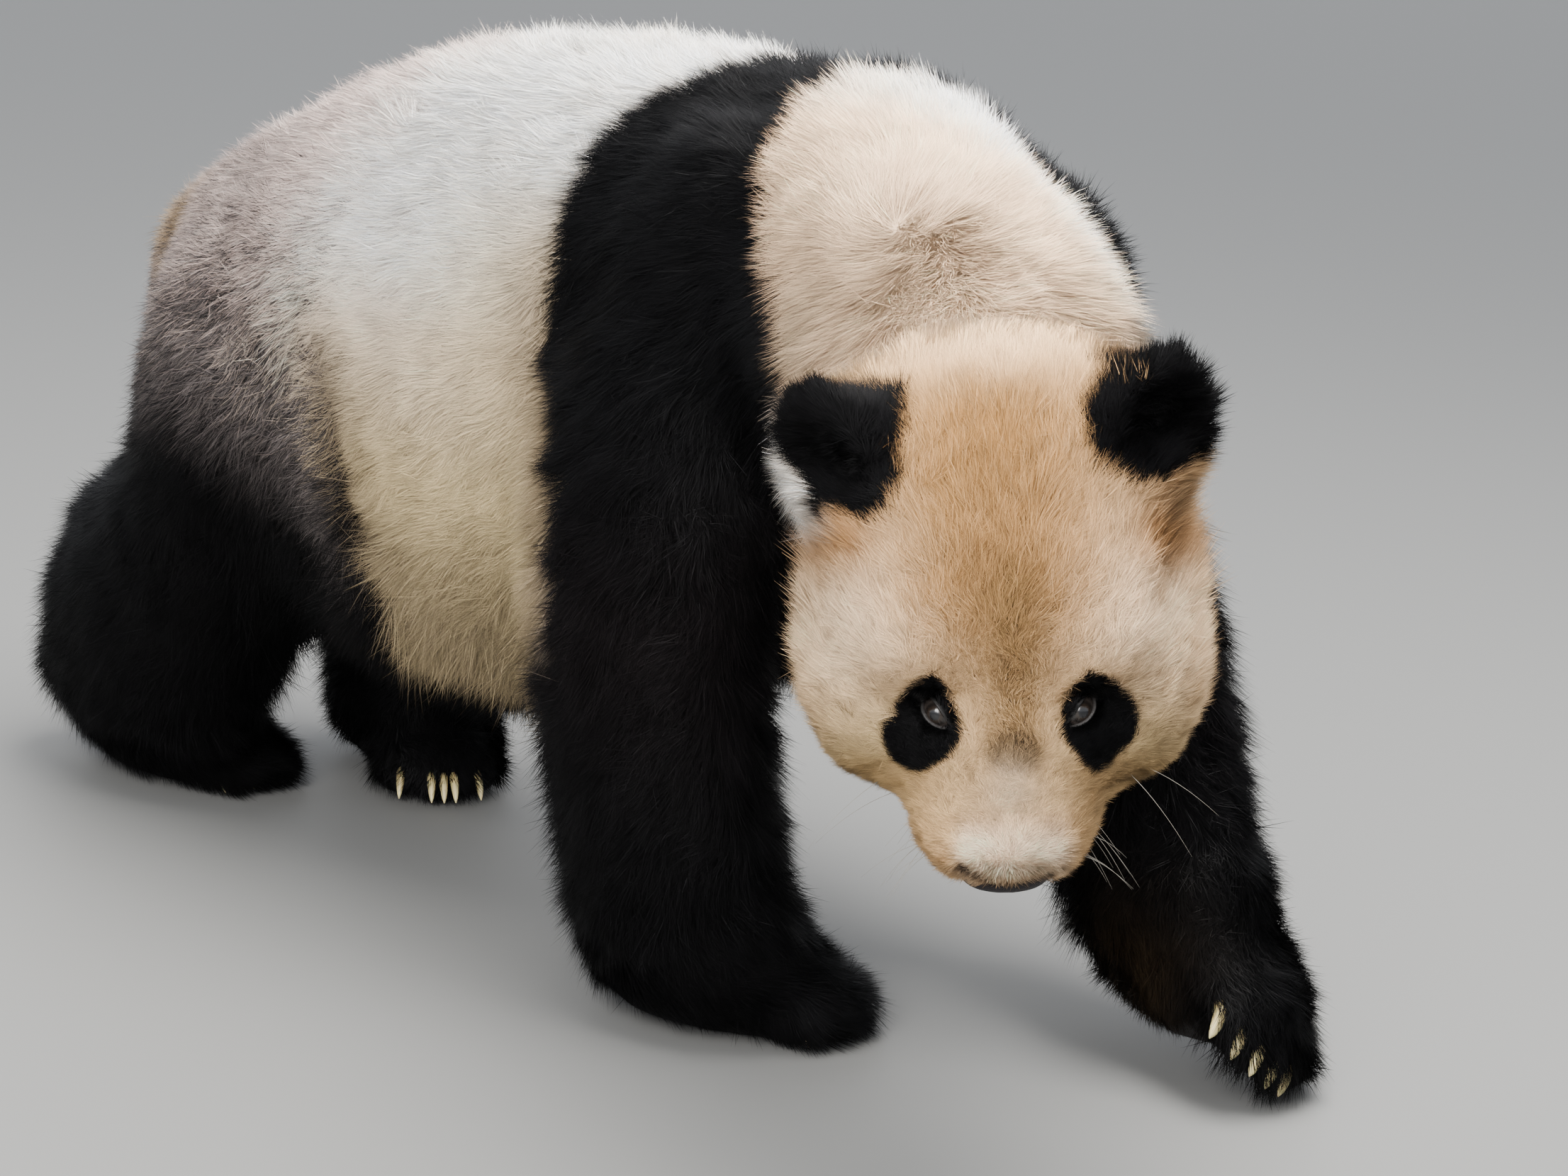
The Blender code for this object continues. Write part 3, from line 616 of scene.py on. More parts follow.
def ear_black(p, on_ear, fuzz):
    """Black of the ears: an outline in the plane of each ear that reaches down onto the skull."""
    inside = np.zeros(len(p))
    for name, (middle, outline) in EAR_OUTLINES.items():
        base, axes = ear_axes(EARS[name])
        rear = EARS[name]["rear"]
        u, v, w = ((p - base) @ axes.T).T
        du, dv = u - middle[0], v - middle[1]
        near = np.hypot(du, dv) / reach_of(outline, middle, du, dv)
        close = step(0.060, 0.050, w) * np.maximum(step(rear - 0.008, rear, w), on_ear)
        inside = np.maximum(inside, step(1.06, 0.94, near + 0.09 * fuzz) * close)
    return inside


def eye_patches(left, forward, up, fuzz):
    """Black patches, each given by its reach from a middle point in a number of directions."""
    inside = np.zeros(len(left))
    for middle, outline in PATCHES:
        du, dv = left - middle[0], forward - middle[1]
        near = np.hypot(du, dv) / reach_of(outline, middle, du, dv)
        inside = np.maximum(inside, step(1.07, 0.93, near + 0.10 * fuzz))
    return inside * (up > -0.03)


def pale_parts(p, local, shares_of, fuzz):
    """Tints of the pale coat: white back, pink rump, ivory flank, straw belly, peach neck; painted
    shade in the thigh fold, behind the band and at the whorl.
    """
    px, py, pz = p.T
    colour = np.broadcast_to(PAINT["white"], p.shape)
    colour = mixed(colour, PAINT["ivory"], step(0.62, 0.50, pz) * (py > -0.3))
    rump = step(0.20, 0.36, py + 0.25 * (pz - 0.6)) * step(0.40, 0.52, pz)
    colour = mixed(colour, PAINT["pink"], 0.85 * rump)
    colour = mixed(colour, PAINT["grey"], step(0.27, 0.46, py) * (0.40 + 0.5 * fuzz))
    colour = mixed(colour, PAINT["straw"], 0.90 * step(0.56, 0.38, pz) * step(0.30, 0.22, py))
    below = step(0.03, -0.06, pz - border(HIND_TOP, py)) * step(0.21, 0.24, py)
    colour = mixed(colour, PAINT["grey"] * 0.45, below)
    behind = py - border(BAND_BACK, pz)
    sand = step(0.20, 0.02, behind) * step(0.70, 0.58, pz) * (py > -0.2)
    colour = mixed(colour, PAINT["straw"], 0.60 * sand)
    # Painted shade with a real tan tint: earth, and umber lower down, darkens the coat just behind
    # the band's back edge.
    edge = bump_at(behind, 0.045) * step(0.68, 0.60, pz) * (py > -0.2)
    colour = mixed(colour, PAINT["earth"] * 0.8, 0.70 * edge)
    colour = mixed(colour, PAINT["umber"], 0.55 * edge * step(0.50, 0.38, pz))
    # Painted shade with a real brown tint: umber in the fold before the thigh, over the crease
    # sculpted into the skin.
    fold = bump_at(py - 0.215 - 0.20 * (pz - 0.40), 0.042)
    fold = fold * step(0.54, 0.46, pz) * step(0.27, 0.33, pz)
    colour = mixed(colour, PAINT["umber"], fold * (0.74 + 0.9 * fuzz))
    colour = mixed(colour, PAINT["umber"], step(0.38, 0.25, pz) * (0.56 + 0.9 * fuzz))
    spine = bump_at(px - 0.10, 0.03) * bump_at(py - 0.10, 0.06)
    colour = mixed(colour, PAINT["earth"], 0.35 * spine)
    neck = step(-0.08, -0.14, py)
    peach = neck * step(0.13, -0.03, px - 0.35 * (pz - 0.70))
    colour = mixed(colour, PAINT["peach"], 0.85 * peach)
    neck_tan = bump_at(np.linalg.norm(p - (-0.150, -0.325, 0.600), axis=1), 0.060)
    colour = mixed(colour, PAINT["earth"], 0.85 * neck_tan)
    # Painted shade: earth where the hair parts at the whorl, for the shadows of the parting.
    whorl_shade = bump_at(np.linalg.norm(p - WHORL, axis=1), 0.035)
    colour = mixed(colour, PAINT["earth"], whorl_shade * (0.42 + 0.9 * fuzz))
    ruff = neck * step(0.57, 0.52, pz) * step(-0.06, -0.10, px)
    colour = mixed(colour, PAINT["white"], 0.80 * ruff)
    rear = bump_at(np.linalg.norm(p - (-0.010, 0.600, 0.530), axis=1), 0.055)
    colour = mixed(colour, PAINT["fawn"], 0.85 * rear)
    colour = mixed(colour, PAINT["fawn"], 0.85 * step(0.35, 0.8, shares_of["tail"]))
    face = pale_face(*local.T, fuzz)
    return mixed(colour, face, step(0.25, 0.75, shares_of["head"] + shares_of["ear"]))


NOSE_LINE = ((-0.034, -0.0316, -0.020, -0.002, 0.016, 0.0286, 0.034),
             (-0.0175, -0.0150, -0.0045, 0.0027, 0.0002, -0.0037, -0.0080))


def pale_face(left, forward, up, fuzz):
    """Tints of the head: blush cheeks, tan brow, olive under the eyes, mottled bridge, pale nose, and
    painted shade in the crease over the nose roll.
    """
    colour = np.broadcast_to(PAINT["cream"], (len(left), 3))
    cheeks = bump_at(np.hypot(np.abs(left) - 0.105, (forward + 0.185) * 0.8), 0.058)
    colour = mixed(colour, PAINT["blush"], 0.95 * cheeks)
    brow = bump_at(left + 0.008, 0.090) * step(-0.12, -0.21, forward) * step(-0.39, -0.32, forward)
    colour = mixed(colour, PAINT["tan"], brow * (0.95 + 0.6 * fuzz))
    centre = bump_at(left + 0.006, 0.052) * bump_at(forward + 0.215, 0.085)
    colour = mixed(colour, PAINT["brown"], centre * (0.66 + 1.2 * fuzz))
    under = bump_at(np.hypot(np.abs(left) - 0.098, forward + 0.084), 0.050)
    colour = mixed(colour, PAINT["straw"], 0.80 * under)
    colour = mixed(colour, PAINT["olive"], 0.42 * under)
    line = bump_at(left - 0.006, 0.021) * step(-0.25, -0.19, forward) * step(-0.085, -0.105, forward)
    colour = mixed(colour, PAINT["olive"], line * (0.90 + 1.3 * fuzz))
    smudge = np.hypot((left - 0.006) / 0.020, (forward + 0.093) / 0.0160)
    colour = mixed(colour, PAINT["smudge"], step(1.45, 0.5, smudge) * (1.10 + 1.2 * fuzz))
    muzzle = step(-0.10, -0.075, forward)
    colour = mixed(colour, PAINT["tan"], 0.30 * muzzle * step(0.030, 0.062, np.abs(left)))
    # Painted shade with a tan tint: tan along the crease over the nose roll.
    crease = step(0.050, 0.030, np.abs(left - 0.004)) * bump_at(forward + 0.0445, 0.007)
    colour = mixed(colour, PAINT["tan"], 0.45 * crease * step(-0.03, 0.0, up))
    roll = step(0.046, 0.032, np.abs(left - 0.004)) * bump_at(forward + 0.024, 0.020)
    colour = mixed(colour, PAINT["blush"] * (1.03, 1.05, 1.12), 0.95 * roll * step(-0.03, 0.0, up))
    bridge = bump_at(left - 0.004, 0.020) * bump_at(forward + 0.066, 0.020)
    colour = mixed(colour, PAINT["blush"], 0.75 * bridge)
    colour = mixed(colour, PAINT["peach"], 0.85 * step(-0.345, -0.385, forward))
    ruff = step(-0.118, -0.130, left) * step(-0.235, -0.255, forward)
    colour = mixed(colour, PAINT["white"], 0.85 * ruff)
    smile = np.interp(left, *NOSE_LINE)
    groove = bump_at(forward - smile, 0.0032) * step(0.038, 0.034, np.abs(left)) * (up > -0.012)
    colour = mixed(colour, PAINT["lip"], groove * (forward > -0.03))
    under_ear = bump_at(np.hypot(np.abs(left) - 0.114, forward + 0.243), 0.026)
    colour = mixed(colour, PAINT["rust"], 0.85 * under_ear)
    return colour


def coat_colour(p, shares_of, fuzz):
    """The whole marking: pale tints, then black, with the tints of the black coat and a painted plum
    sheen on the forelegs.
    """
    local = to_head(p)
    colour = pale_parts(p, local, shares_of, fuzz)
    dark = np.broadcast_to(PAINT["black"], p.shape)
    # Painted sheen with a brownish tint: plum lightens the black of the mid foreleg as its highlights
    # do.
    plum_sheen = bump_at(p[:, 2] - 0.33, 0.10) * step(0.3, 0.6, shares_of["foreleg"])
    dark = mixed(dark, PAINT["plum_sheen"], 0.7 * plum_sheen)
    heel = bump_at(np.linalg.norm(p - (0.005, -0.115, 0.02), axis=1), 0.05)
    palm = bump_at(np.linalg.norm(p - (0.135, -0.475, 0.075), axis=1), 0.06)
    dark = mixed(dark, PAINT["wrist"], 0.75 * np.maximum(heel, palm))
    return mixed(colour, dark, black_parts(p, local, shares_of, fuzz))


TABLE = {"head": SHARE["head"], "ear": EAR, "tail": SHARE["tail"], "foreleg": FORELEG,
         "forepaw": SHARE["forepaw_left"] + SHARE["forepaw_right"],
         "hindpaw": SHARE["hindpaw_left"] + SHARE["hindpaw_right"]}
skin_colour = coat_colour(outer, TABLE, np.zeros(len(outer)))
print("mean paint", skin_colour.mean(0).round(3))

# %% [markdown]
# ## Bare skin
# Lid rims, lips and the pads of the soles are bare.  They are painted on the skin alone, and no
# tufts grow there.
# %% Bare places
BARE = np.zeros(len(outer))
for eye_name in EYE_SIDES:
    centre, axes = eye_frame(eye_name)
    p, q, r = ((skin - centre) @ axes.T).T
    opening = almond(p, q)
    close = (np.abs(r) < 0.03) & (np.hypot(p, q) < 0.03)
    rim_here = step(1.60, 1.35, opening) * close
    under = step(-0.004, 0.004, -axes[1] @ head_direction(0, -1, 0) * q)
    skin_colour = mixed(skin_colour, PAINT["rim"], rim_here * (0.45 + 0.55 * under))
    skin_colour = mixed(skin_colour, PAINT["lip"], step(1.08, 0.98, opening) * close)
    BARE = np.maximum(BARE, rim_here)
nose_local = to_head(skin)
on_nose = np.hypot(np.hypot(nose_local[:, 0] / 0.031, (nose_local[:, 1] + 0.0135) / 0.021),
                   (nose_local[:, 2] + 0.014) / 0.018)
BARE = np.maximum(BARE, step(1.10, 1.00, on_nose) * (SHARE["head"] > 0.5))
lips = bump_at(nose_local[:, 2] + 0.0370 + 2.0 * nose_local[:, 0] ** 2, 0.0028) * step(
    -0.100, -0.085, nose_local[:, 1]) * SHARE["head"]
skin_colour = mixed(skin_colour, PAINT["lip"], lips)
BARE = np.maximum(BARE, lips * 0.9)
PAD = np.zeros(len(outer))
for name, paw in PAWS.items():
    inverse = np.array(paw_matrix(paw).inverted())
    lx, ly = (outer @ inverse[:2, :3].T + inverse[:2, 3]).T
    toes = [np.hypot((lx - 0.026 * k * paw["size"]) / 0.010,
                     (ly + (0.078 - 0.006 * k ** 2) * paw["size"]) / 0.013) for k in range(-2, 3)]
    palm = np.hypot(lx / 0.052, (ly - 0.004 * lx * lx * 100 + 0.022) / 0.020)
    pads = np.minimum(np.minimum.reduce(toes), palm)
    PAD = np.maximum(PAD, step(1.15, 0.9, pads) * SOLE * (SHARE[name] > 0.4))
skin_colour = mixed(skin_colour, PAINT["pad"], PAD)
BARE = np.maximum(BARE, PAD)
print("bare points", int((BARE > 0.5).sum()))

# %% [markdown]
# ## Shader maths in Python
# A finish is a net of nodes.  One small class wraps a socket so that numbers and sockets can be
# added and multiplied as in any expression; every other node comes from one method.
# %% Finishes as expressions
class Wire:
    """A socket in a node tree that takes part in sums and products."""

    def __init__(self, tree, socket):
        self.tree = tree
        self.socket = socket

    def maths(self, operation, first, second):
        """A Math node on two values, sockets or numbers."""
        return node(self.tree, "ShaderNodeMath", {"operation": operation}, {0: first, 1: second})[0]

    def __add__(self, other):
        return self.maths("ADD", self, other)

    def __radd__(self, other):
        return self.maths("ADD", other, self)

    def __sub__(self, other):
        return self.maths("SUBTRACT", self, other)

    def __rsub__(self, other):
        return self.maths("SUBTRACT", other, self)

    def __mul__(self, other):
        return self.maths("MULTIPLY", self, other)

    def __rmul__(self, other):
        return self.maths("MULTIPLY", other, self)


def node(tree, kind, settings=None, inputs=None):
    """Add a node: its settings first, then its sockets' values or links; returns its outputs."""
    made = tree.nodes.new(kind)
    for name, value in (settings or {}).items():
        if name == "stops":
            while len(made.color_ramp.elements) < len(value):
                made.color_ramp.elements.new(1.0)
            for element, (place, colour) in zip(made.color_ramp.elements, value):
                element.position = place
                element.color = (*colour, 1.0)
        else:
            setattr(made, name, value)
    for name, value in (inputs or {}).items():
        socket = made.inputs[name]
        if isinstance(value, Wire):
            tree.links.new(value.socket, socket)
        else:
            socket.default_value = value
    return [Wire(tree, s) for s in made.outputs]


def finish(name, constants):
    """A new Principled material with its constant sockets set; returns it, its tree and shader."""
    mat = bpy.data.materials.new(name)
    mat.use_nodes = True
    shader = mat.node_tree.nodes["Principled BSDF"]
    for socket, value in constants.items():
        shader.inputs[socket].default_value = value
    return mat, mat.node_tree, shader


def feed(tree, shader, socket, wire):
    """Link a wire to a socket of the shader."""
    tree.links.new(wire.socket, shader.inputs[socket])


def attribute(tree, name):
    """Colour, vector and value of a mesh attribute."""
    outputs = node(tree, "ShaderNodeAttribute", {"attribute_name": name})
    return outputs[0], outputs[1], outputs[2]


print("finishes can be written as sums")

# %% [markdown]
# ## Skin and hair finishes
# Hair takes its paint from the tuft, darker at its root and lighter at its tip, which is painted
# shade and light through the depth of the coat, and a roughness that is lower on black hair, which is
# glossier.  It is lit as the coat under it is: the tuft's normal leans to the skin's, so the coat
# shades as one soft surface.  The skin is matt, mottled and finely pitted by hair roots.
# %% Hair and skin
def hair_finish():
    """Finish of the coat."""
    mat, tree, shader = finish("coat hair", {"Specular IOR Level": 0.05})
    colour, _, _ = attribute(tree, "paint")
    _, _, gloss = attribute(tree, "gloss")
    _, normal, _ = attribute(tree, "soft_normal")
    place = node(tree, "ShaderNodeTexCoord")[3]
    mottle = node(tree, "ShaderNodeTexNoise", {"noise_dimensions": "3D"},
                  {"Vector": place, "Scale": 60.0, "Detail": 1.0})[0]
    tone = node(tree, "ShaderNodeHueSaturation", None,
                {"Color": colour, "Value": 0.86 + mottle * 0.28})[0]
    feed(tree, shader, "Base Color", tone)
    feed(tree, shader, "Roughness", 0.72 - gloss * 0.28)
    feed(tree, shader, "Normal", normal)
    return mat


def skin_finish():
    """Finish of the skin: the same paint, mottled, with bare places a little glossy."""
    mat, tree, shader = finish("skin", {"Specular IOR Level": 0.16})
    colour, _, _ = attribute(tree, "paint")
    _, _, bare = attribute(tree, "bare")
    place = node(tree, "ShaderNodeTexCoord")[3]
    pits = node(tree, "ShaderNodeTexNoise", {"noise_dimensions": "3D"},
                {"Vector": place, "Scale": 420.0, "Detail": 4.0})[0]
    broad = node(tree, "ShaderNodeTexNoise", {"noise_dimensions": "3D"},
                 {"Vector": place, "Scale": 30.0, "Detail": 2.0})[0]
    tone = node(tree, "ShaderNodeHueSaturation", None,
                {"Color": colour, "Value": 0.62 + broad * 0.25 + bare * 0.2})[0]
    relief = node(tree, "ShaderNodeBump", None, {"Height": pits, "Strength": 0.5,
                                                 "Distance": 0.0012})[0]
    feed(tree, shader, "Base Color", tone)
    feed(tree, shader, "Roughness", 0.9 - bare * 0.45)
    feed(tree, shader, "Normal", relief)
    return mat


HAIR = hair_finish()
SKIN = skin_finish()
print("finishes:", HAIR.name, SKIN.name)

# %% [markdown]
# ## The skin as a piece
# The sculpted places go back into the fused mesh, with the paint and the bare places stored on
# its points.  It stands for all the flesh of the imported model, from the muzzle to the tail.
# %% Skin piece
def set_attribute(mesh, name, kind, values):
    """Store values on the mesh's points under a name."""
    layer = mesh.attributes.new(name, kind, "POINT")
    key = {"FLOAT": "value", "FLOAT_VECTOR": "vector", "FLOAT_COLOR": "color"}[kind]
    layer.data.foreach_set(key, np.ascontiguousarray(values, np.float32).ravel())


def with_alpha(colour):
    """Colours with a fourth channel of ones."""
    return np.concatenate([colour, np.ones((len(colour), 1))], axis=1)


skin_mesh.vertices.foreach_set("co", skin.ravel())
set_attribute(skin_mesh, "paint", "FLOAT_COLOR", with_alpha(skin_colour))
set_attribute(skin_mesh, "bare", "FLOAT", BARE)
skin_mesh.shade_smooth()
skin_mesh.materials.clear()
skin_mesh.materials.append(SKIN)
skin_mesh.update()
skin_obj = new_object("skin", skin_mesh)
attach(skin_obj, "root")
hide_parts(*FLESH)

# %% [markdown]
# ## Growing the coat
# Hair is far too fine to model one by one, and it holds together in pointed tufts anyway.  A tuft
# is one long narrow triangle with its foot in the skin, leaning along the lie of the coat.  They
# are short and close on the head and paws, closest on the muzzle, and longer on the body.  Smooth
# noise turns neighbours the same way, so that they gather in clumps.  All tufts of a region are
# worked out at once as arrays.  A tuft takes the marking that lies under its middle.
# %% Tufts
REGIONS = {
    "coat_face": 190000, "coat_crown": 150000, "coat_neck": 165000, "coat_back": 165000,
    "coat_flank_right": 170000, "coat_flank_left": 90000, "coat_foreleg_right": 180000,
    "coat_foreleg_left": 140000, "coat_hindleg_right": 170000, "coat_hindleg_left": 80000,
}
HEAD_REGIONS = ("coat_face", "coat_crown")
ROOT_DEPTH = 0.0012
FLOOR_GAP = 0.0008


def region_of_triangles():
    """Name index of the coat piece that each skin triangle belongs to."""
    corner = TRIANGLES[:, 0]
    name = np.array(FLESH)[part[corner]]
    middle = outer[TRIANGLES].mean(axis=1)
    forward = to_head(middle)[:, 1]
    names = list(REGIONS)
    region = np.full(len(TRIANGLES), names.index("coat_flank_left"))
    region[middle[:, 0] < MIDDLE] = names.index("coat_flank_right")
    region[middle[:, 2] > 0.60] = names.index("coat_back")
    region[name == "tail"] = names.index("coat_back")
    region[name == "neck"] = names.index("coat_neck")
    region[np.isin(name, ("head", "ear_left", "ear_right"))] = names.index("coat_crown")
    region[(name == "head") & (forward > -0.185)] = names.index("coat_face")
    for piece, members in (("coat_foreleg_right", ("foreleg_right", "forepaw_right")),
                           ("coat_foreleg_left", ("foreleg_left", "forepaw_left")),
                           ("coat_hindleg_right", ("hindleg_right", "hindpaw_right")),
                           ("coat_hindleg_left", ("hindleg_left", "hindpaw_left"))):
        region[np.isin(name, members)] = names.index(piece)
    return region


REGION = region_of_triangles()
density = by_part(trunk=1.0, belly=0.9, neck=1.1, head=1.6, face=2.6, muzzle=4.2,
                  ear=2.0, leg=1.0, paw=1.5, sole=0.7, tail=1.2) * (1 - BARE) ** 2


def roots(piece_index, count):
    """Random roots spread evenly over a region: triangle numbers and corner weights."""
    chosen = np.nonzero(REGION == piece_index)[0]
    a, b, c = (skin[TRIANGLES[chosen, k]] for k in range(3))
    area = np.linalg.norm(np.cross(b - a, c - a), axis=1)
    weight = np.cumsum(area * density[TRIANGLES[chosen]].mean(axis=1))
    pick = (np.arange(count) + rng.random(count)) / count * weight[-1]
    triangle = chosen[np.minimum(np.searchsorted(weight, pick), len(chosen) - 1)]
    r1, r2 = np.sqrt(rng.random(count)), rng.random(count)
    return triangle, np.stack([1 - r1, r1 * (1 - r2), r1 * r2], axis=1)


def at_roots(values, triangle, corner):
    """Values of the skin's points carried to the roots."""
    picked = values[TRIANGLES[triangle]]
    return np.einsum("nk,nk...->n...", corner, picked)


def silvered(p):
    """How grizzled the coat is, black at the roots and pale at the tips: thigh and low rump."""
    above = p[:, 2] - border(HIND_TOP, p[:, 1])
    return step(-0.10, 0.02, above) * step(0.27, 0.07, above) * step(0.20, 0.26, p[:, 1])


def tufts(piece_index, count):
    """All tufts of a region as arrays: the places, paint, gloss and soft normals of their points."""
    triangle, corner = roots(piece_index, count)
    root, normal, flow = (at_roots(v, triangle, corner) for v in (skin, normals, lie))
    normal = unit(normal)
    scale = 0.0075 if list(REGIONS)[piece_index] in HEAD_REGIONS else 0.015
    at = at_roots(outer, triangle, corner)
    grizzle = silvered(at)
    ruffle = rng.normal(size=flow.shape) * (0.24 + 0.26 * grizzle)[:, None]
    flow = unit(flow + ruffle + 0.52 * noise(root, scale, 5, 3))
    flow = unit(flow - normal * (flow * normal).sum(1)[:, None])
    side = np.cross(normal, flow)
    long = at_roots(length, triangle, corner) * rng.uniform(0.62, 1.20, count)
    long = long * (1 + 0.22 * noise(root, scale * 0.8, 6)) * (1 - 0.28 * grizzle)
    angle = np.radians(at_roots(lift, triangle, corner) + rng.normal(size=count) * 7)
    along = normal * np.sin(angle)[:, None] + flow * np.cos(angle)[:, None]
    along = unit(along + side * rng.normal(size=(count, 1)) * 0.12)
    half = at_roots(width, triangle, corner)[:, None] * rng.uniform(0.75, 1.25, (count, 1)) / 2
    low = root - normal * ROOT_DEPTH
    tip = low + along * long[:, None]
    tip[:, 2] = np.maximum(tip[:, 2], FLOOR_GAP)
    table = {key: at_roots(value, triangle, corner) for key, value in TABLE.items()}
    clump = noise(at, scale * 0.55, 7) + 0.7 * noise(at, scale * 1.8, 8)
    fuzz = np.clip(rng.uniform(-0.42, 0.42, count) + 0.10 * clump, -0.5, 0.5)
    paint = coat_colour(at + flow * (0.55 * long)[:, None], table, fuzz)
    bright = paint.mean(axis=1)
    uneven = rng.normal(size=count) * (0.15 + 0.25 * (bright < 0.1))
    tone = 1 + uneven + (0.13 + 0.20 * (bright < 0.1)) * clump
    paint = np.clip(paint * tone[:, None], 0.0015, 0.9)
    # Painted shade and light: every tuft is darkened to 0.62 at its root, deep in the coat where
    # shade falls, and lightened to 1.10 at its tip; only the black roots and silver tips of grizzled
    # hair are real colour.
    shaded_root_paint = mixed(paint * 0.62, PAINT["black"], 0.80 * grizzle)
    tipped = grizzle * (bright < 0.1) * rng.random(count) ** 1.5
    tip_paint = mixed(paint * (1.10 + 0.25 * grizzle)[:, None], PAINT["silver"], 0.8 * tipped)
    lean = unit(normal + along * 0.25 + rng.normal(size=(count, 3)) * 0.22)
    places = np.stack([low - side * half, low + side * half, tip], axis=1)
    paint = np.stack([shaded_root_paint, shaded_root_paint, np.minimum(tip_paint, 0.9)], axis=1)
    turn = np.array([-0.4, 0.4, 0.0])
    soft = unit(lean[:, None, :] + side[:, None, :] * turn[None, :, None])
    shine = step(0.20, 0.03, bright) * (1 - 0.8 * table["ear"])
    return places, paint, np.repeat(shine[:, None], 3, axis=1), soft, at


def bake_map(points):
    """Place of each root on an unwrap of its region: round the region's long axis, and along it."""
    centre = points.mean(axis=0)
    _, _, axes = np.linalg.svd(points[::7] - centre, full_matrices=False)
    local = (points - centre) @ axes.T
    along = local[:, 0]
    around = np.arctan2(local[:, 2], local[:, 1])
    u = 0.5 + around / (2 * math.pi)
    v = (along - along.min()) / np.ptp(along)
    return np.stack([0.004 + 0.99 * u, 0.004 + 0.99 * v], axis=1)


PATCH = 0.0030
BLADE = np.array([(0, 0), (1, 0), (0.5, 1.0)]) * PATCH - PATCH / 2


def mesh_from_arrays(name, places, triangles):
    """A triangle mesh filled straight from arrays."""
    mesh = bpy.data.meshes.new(name)
    mesh.vertices.add(len(places))
    mesh.vertices.foreach_set("co", np.ascontiguousarray(places, np.float32).ravel())
    mesh.loops.add(triangles.size)
    mesh.loops.foreach_set("vertex_index", triangles.astype(np.int32).ravel())
    mesh.polygons.add(len(triangles))
    mesh.polygons.foreach_set("loop_start", np.arange(0, triangles.size, 3, dtype=np.int32))
    mesh.polygons.foreach_set("loop_total", np.full(len(triangles), 3, np.int32))
    mesh.update(calc_edges=True)
    return mesh


def grow(name, count):
    """One coat piece: its tufts joined in one mesh, with paint, normals and its bake map."""
    index = list(REGIONS).index(name)
    places, paint, gloss, soft, at = tufts(index, count)
    triangles = np.arange(3 * count).reshape(-1, 3)
    mesh = mesh_from_arrays(name, places.reshape(-1, 3), triangles)
    set_attribute(mesh, "paint", "FLOAT_COLOR", with_alpha(paint.reshape(-1, 3)))
    set_attribute(mesh, "gloss", "FLOAT", gloss)
    set_attribute(mesh, "soft_normal", "FLOAT_VECTOR", soft)
    uv = (bake_map(at)[:, None, :] + BLADE).reshape(-1, 2)
    layer = mesh.uv_layers.new(name="OFBake")
    layer.uv.foreach_set("vector", uv[triangles.ravel()].astype(np.float32).ravel())
    mesh.shade_smooth()
    mesh.normals_split_custom_set_from_vertices(soft.reshape(-1, 3))
    mesh.materials.append(HAIR)
    obj = new_object(name, mesh)
    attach(obj, "root")
    print(name, len(triangles), "triangles")


THIN = 1.0
for piece_name, tuft_count in REGIONS.items():
    grow(piece_name, int(tuft_count * THIN))

# %% [markdown]
# ## Eyes
# The eyeball is a ball whose clear front bulges a little; under it lie the dark brown iris and the
# pupil.  Only a slanting almond of it shows between the lids.  It is worked out as a grid of two
# angles, and its paint depends on the angle from the line of sight.
# %% Eyeballs
IRIS = np.array([0.016, 0.011, 0.008])
IRIS_EDGE = (0.009, 0.007, 0.006)
PUPIL = (0.003, 0.003, 0.004)
EYE_WHITE = (0.030, 0.024, 0.021)


def ball_grid(rings, sides):
    """Unit ball as a grid: angle from +Z by angle round it, poles closed by triangles."""
    tilt = np.linspace(0, math.pi, rings + 1)[1:-1]
    turn = np.linspace(0, 2 * math.pi, sides, endpoint=False)
    tilt, turn = np.meshgrid(tilt, turn, indexing="ij")
    grid = np.stack([np.sin(tilt) * np.cos(turn), np.sin(tilt) * np.sin(turn), np.cos(tilt)], -1)
    points = np.concatenate([grid.reshape(-1, 3), [[0, 0, 1], [0, 0, -1]]])
    row, col = np.meshgrid(np.arange(rings - 2), np.arange(sides), indexing="ij")
    a, b = row * sides + col, row * sides + (col + 1) % sides
    c, d = a + sides, b + sides
    faces = np.concatenate([np.stack([a, c, d], -1).reshape(-1, 3),
                            np.stack([a, d, b], -1).reshape(-1, 3)])
    ring = np.arange(sides)
    after = (ring + 1) % sides
    last = (rings - 2) * sides
    top = np.stack([np.full(sides, len(points) - 2), ring, after], -1)
    bottom = np.stack([np.full(sides, len(points) - 1), last + after, last + ring], -1)
    return points, np.concatenate([faces, top, bottom])


def eye_finish():
    """Wet eye: brown iris with fine rays, dark pupil, dim white at the edge."""
    mat, tree, shader = finish("eye", {"Roughness": 0.20, "Specular IOR Level": 0.5,
                                       "Coat Weight": 0.20, "Coat Roughness": 0.20})
    colour, _, _ = attribute(tree, "paint")
    place = node(tree, "ShaderNodeTexCoord")[3]
    rays = node(tree, "ShaderNodeTexNoise", None, {"Vector": place, "Scale": 900.0,
                                                   "Detail": 2.0})[0]
    tone = node(tree, "ShaderNodeHueSaturation", None, {"Color": colour,
                                                        "Value": 0.75 + rays * 0.5})[0]
    feed(tree, shader, "Base Color", tone)
    return mat


